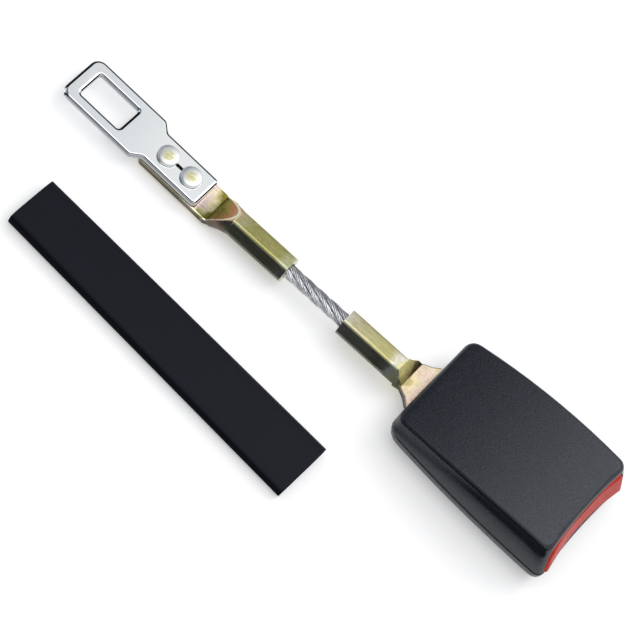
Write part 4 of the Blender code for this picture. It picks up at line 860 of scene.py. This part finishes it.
class EXTENDER_OT_terminals(Operator):
    """Add the two pressed tube terminals"""
    bl_idname = "extender.terminals"
    bl_label = "Terminals"

    def execute(self, context):
        material = yellow_zinc()
        for end in ("tongue", "buckle"):
            terminal = copy_of(end + "_terminal", end + "_pressed_terminal")
            round_hexagon(terminal, sizes().tube_edge)
            smooth(terminal, 40.0)
            dress(terminal, material, "extender", "yellow_zinc", end + "_terminal")
        return {"FINISHED"}


class EXTENDER_OT_rope(Operator):
    """Add the wires of the rope, laid in strands round the core"""
    bl_idname = "extender.rope"
    bl_label = "Wire rope"

    def wire_paths(self, number):
        """Paths of the wires of one strand, each wound round the strand as the strand is round the core."""
        axis = (ROPE_END - ROPE_START).normalized()
        across = Vector((0.0, 1.0, 0.0))
        level = axis.cross(across)
        length = (ROPE_END - ROPE_START).length
        pitch_angle = math.atan(2 * math.pi * STRAND_CIRCLE_RADIUS / STRAND_LAY)
        paths = [[] for _ in range(WIRES_IN_STRAND + 1)]
        for step in range(WIRE_POINTS):
            run = length * step / (WIRE_POINTS - 1)
            turn = 2 * math.pi * (run / STRAND_LAY + number / STRAND_COUNT)
            outward = across * math.cos(turn) + level * math.sin(turn)
            sideways = level * math.cos(turn) - across * math.sin(turn)
            tangent = axis * math.cos(pitch_angle) + sideways * math.sin(pitch_angle)
            beside = tangent.cross(outward)
            middle = ROPE_START + axis * run + outward * STRAND_CIRCLE_RADIUS
            paths[0].append(middle)
            for wire in range(WIRES_IN_STRAND):
                roll = 2 * math.pi * (run / sizes().wire_lay + wire / WIRES_IN_STRAND)
                side = outward * math.cos(roll) + beside * math.sin(roll)
                paths[wire + 1].append(middle + side * sizes().wire_diameter)
        return paths

    def execute(self, context):
        material = galvanised_wire()
        for number in range(STRAND_COUNT):
            wires = bpy.data.curves.new("wires", "CURVE")
            wires.dimensions = "3D"
            wires.bevel_depth = sizes().wire_diameter / 2
            wires.bevel_resolution = 2
            wires.use_fill_caps = True
            for path in self.wire_paths(number):
                spline = wires.splines.new("POLY")
                spline.points.add(len(path) - 1)
                for point, place in zip(spline.points, path):
                    point.co = (*place, 1.0)
            strand = bpy.data.objects.new(f"wire_strand_{number + 1}", wires)
            bpy.context.scene.collection.objects.link(strand)
            pick(strand)
            bpy.ops.object.convert(target="MESH")
            strand = bpy.context.object
            bpy.ops.object.shade_smooth_by_angle(angle=math.radians(60.0))
            dress(strand, material, "extender", "rope_steel", f"rope_strand_{number + 1}")
        finish_node("rope_core", material)
        return {"FINISHED"}


def break_parting(cover, height, width):
    """Break the outer edge of a moulding along the parting line, where the tool halves close."""
    low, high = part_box("upper_cover")
    middle = ((low + high) / 2).xy

    def is_outer(vertex):
        outward = vertex.co.xy - middle
        return abs(vertex.co.z - height) < MERGE_DISTANCE and vertex.normal.xy.dot(outward) > 0

    def on_parting(edge):
        return all(is_outer(cover.data.vertices[i]) for i in edge.vertices)

    select_parts(cover, "EDGE", cover.data.edges, on_parting)
    bevel_selected(width, 2)


class EXTENDER_OT_covers(Operator):
    """Add the two black mouldings of the buckle"""
    bl_idname = "extender.covers"
    bl_label = "Buckle covers"

    def execute(self, context):
        material = moulded_plastic("grained_abs", colours().moulding, grain_mm=0.52, grain_depth_mm=0.11,
                                   roughness=0.31, shine=0.56, shine_colour="#eef2fd", speckle=2.0,
                                   band=True)
        heights = {"upper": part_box("upper_cover")[0].z, "lower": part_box("lower_cover")[1].z}
        for side, height in heights.items():
            cover = copy_of(side + "_cover", side + "_moulding")
            break_parting(cover, height, sizes().parting_edge)
            smooth(cover, 32.0)
            dress(cover, material, "extender", "black_moulding", side + "_cover")
        return {"FINISHED"}


class EXTENDER_OT_button(Operator):
    """Add the red release button"""
    bl_idname = "extender.button"
    bl_label = "Release button"

    def execute(self, context):
        material = moulded_plastic("polished_acetal", colours().button, grain_mm=0.8, grain_depth_mm=0.01,
                                   roughness=0.42, shine=0.11)
        button = copy_of("release_button", "red_release_button")
        round_edges(button, sizes().button_edge)
        smooth(button)
        dress(button, material, "button", "red_moulding", "release_button")
        return {"FINISHED"}


class EXTENDER_OT_cover_sleeve(Operator):
    """Add the black tube that slides over the rope"""
    bl_idname = "extender.cover_sleeve"
    bl_label = "Cover sleeve"

    def execute(self, context):
        tube = copy_of("cover_sleeve", "vinyl_cover_sleeve")
        smooth(tube, 40.0)
        dress(tube, vinyl_tube(), "extender", "sleeve_black", "cover_sleeve")
        return {"FINISHED"}


class EXTENDER_OT_mechanism(Operator):
    """Finish the frame, latch, pins, springs and ejector inside the buckle"""
    bl_idname = "extender.mechanism"
    bl_label = "Mechanism"

    def add_coil(self, node, joint, fixed_x, travel, material):
        """A compression spring of the buckle: a copy of the frame's coil, shaded smooth."""
        coil = copy_of(node, "wound_" + node)
        smooth(coil, 60.0)
        dress(coil, material, "extender", "bare_steel", node)
        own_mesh(coil)

    def execute(self, context):
        plate = plain_steel("pickled_steel_plate", "#74777b", "#a2a5a9", 0.34)
        drawn = plain_steel("drawn_spring_wire", "#5f6165", "#97999e", 0.28)
        nylon = moulded_plastic("unfilled_nylon", colours().nylon, grain_mm=1.2, grain_depth_mm=0.01,
                                roughness=0.45)
        for node, body in (("buckle_frame", "extender"), ("latch", "latch")):
            piece = copy_of(node, "blanked_" + node)
            round_edges(piece, sizes().steel_edge)
            smooth(piece)
            dress(piece, plate, body, "bare_steel", node)
        for node in ("frame_rivet_left", "frame_rivet_right", "latch_pin", "lift_pin"):
            finish_node(node, plate)
        finish_node("latch_spring", drawn)
        for joint in frame["record"]["behaviour"]["joints"]:
            for spring in joint.get("deforming_nodes", []):
                self.add_coil(spring["node"], joint["name"], spring["fixed_end_x_m"], joint["range_m"][1],
                              drawn)
        finish_node("ejector", nylon)
        return {"FINISHED"}


class EXTENDER_PT_panel(Panel):
    """Sidebar panel with one button for each group of pieces"""
    bl_label = "Seat belt extender"
    bl_idname = "EXTENDER_PT_panel"
    bl_space_type = "VIEW_3D"
    bl_region_type = "UI"
    bl_category = "Extender"

    def draw(self, context):
        for step in STEPS:
            self.layout.operator(step.bl_idname)
        for group in (context.scene.extender_sizes, context.scene.extender_colours):
            box = self.layout.box()
            for name in group.__annotations__:
                box.prop(group, name)


STEPS = (EXTENDER_OT_stage, EXTENDER_OT_tongue, EXTENDER_OT_terminals, EXTENDER_OT_rope, EXTENDER_OT_covers,
         EXTENDER_OT_button, EXTENDER_OT_cover_sleeve, EXTENDER_OT_mechanism)
CLASSES = (ExtenderSizes, ExtenderColours, *STEPS, EXTENDER_PT_panel)


def register():
    for item in CLASSES:
        bpy.utils.register_class(item)
    bpy.types.Scene.extender_sizes = PointerProperty(type=ExtenderSizes)
    bpy.types.Scene.extender_colours = PointerProperty(type=ExtenderColours)


def unregister():
    del bpy.types.Scene.extender_colours
    del bpy.types.Scene.extender_sizes
    for item in reversed(CLASSES):
        bpy.utils.unregister_class(item)


def main():
    """Run every step in order."""
    register()
    for step in (bpy.ops.extender.stage, bpy.ops.extender.tongue, bpy.ops.extender.terminals,
                 bpy.ops.extender.rope, bpy.ops.extender.covers, bpy.ops.extender.button,
                 bpy.ops.extender.cover_sleeve, bpy.ops.extender.mechanism):
        step()


if __name__ == "__main__":
    main()
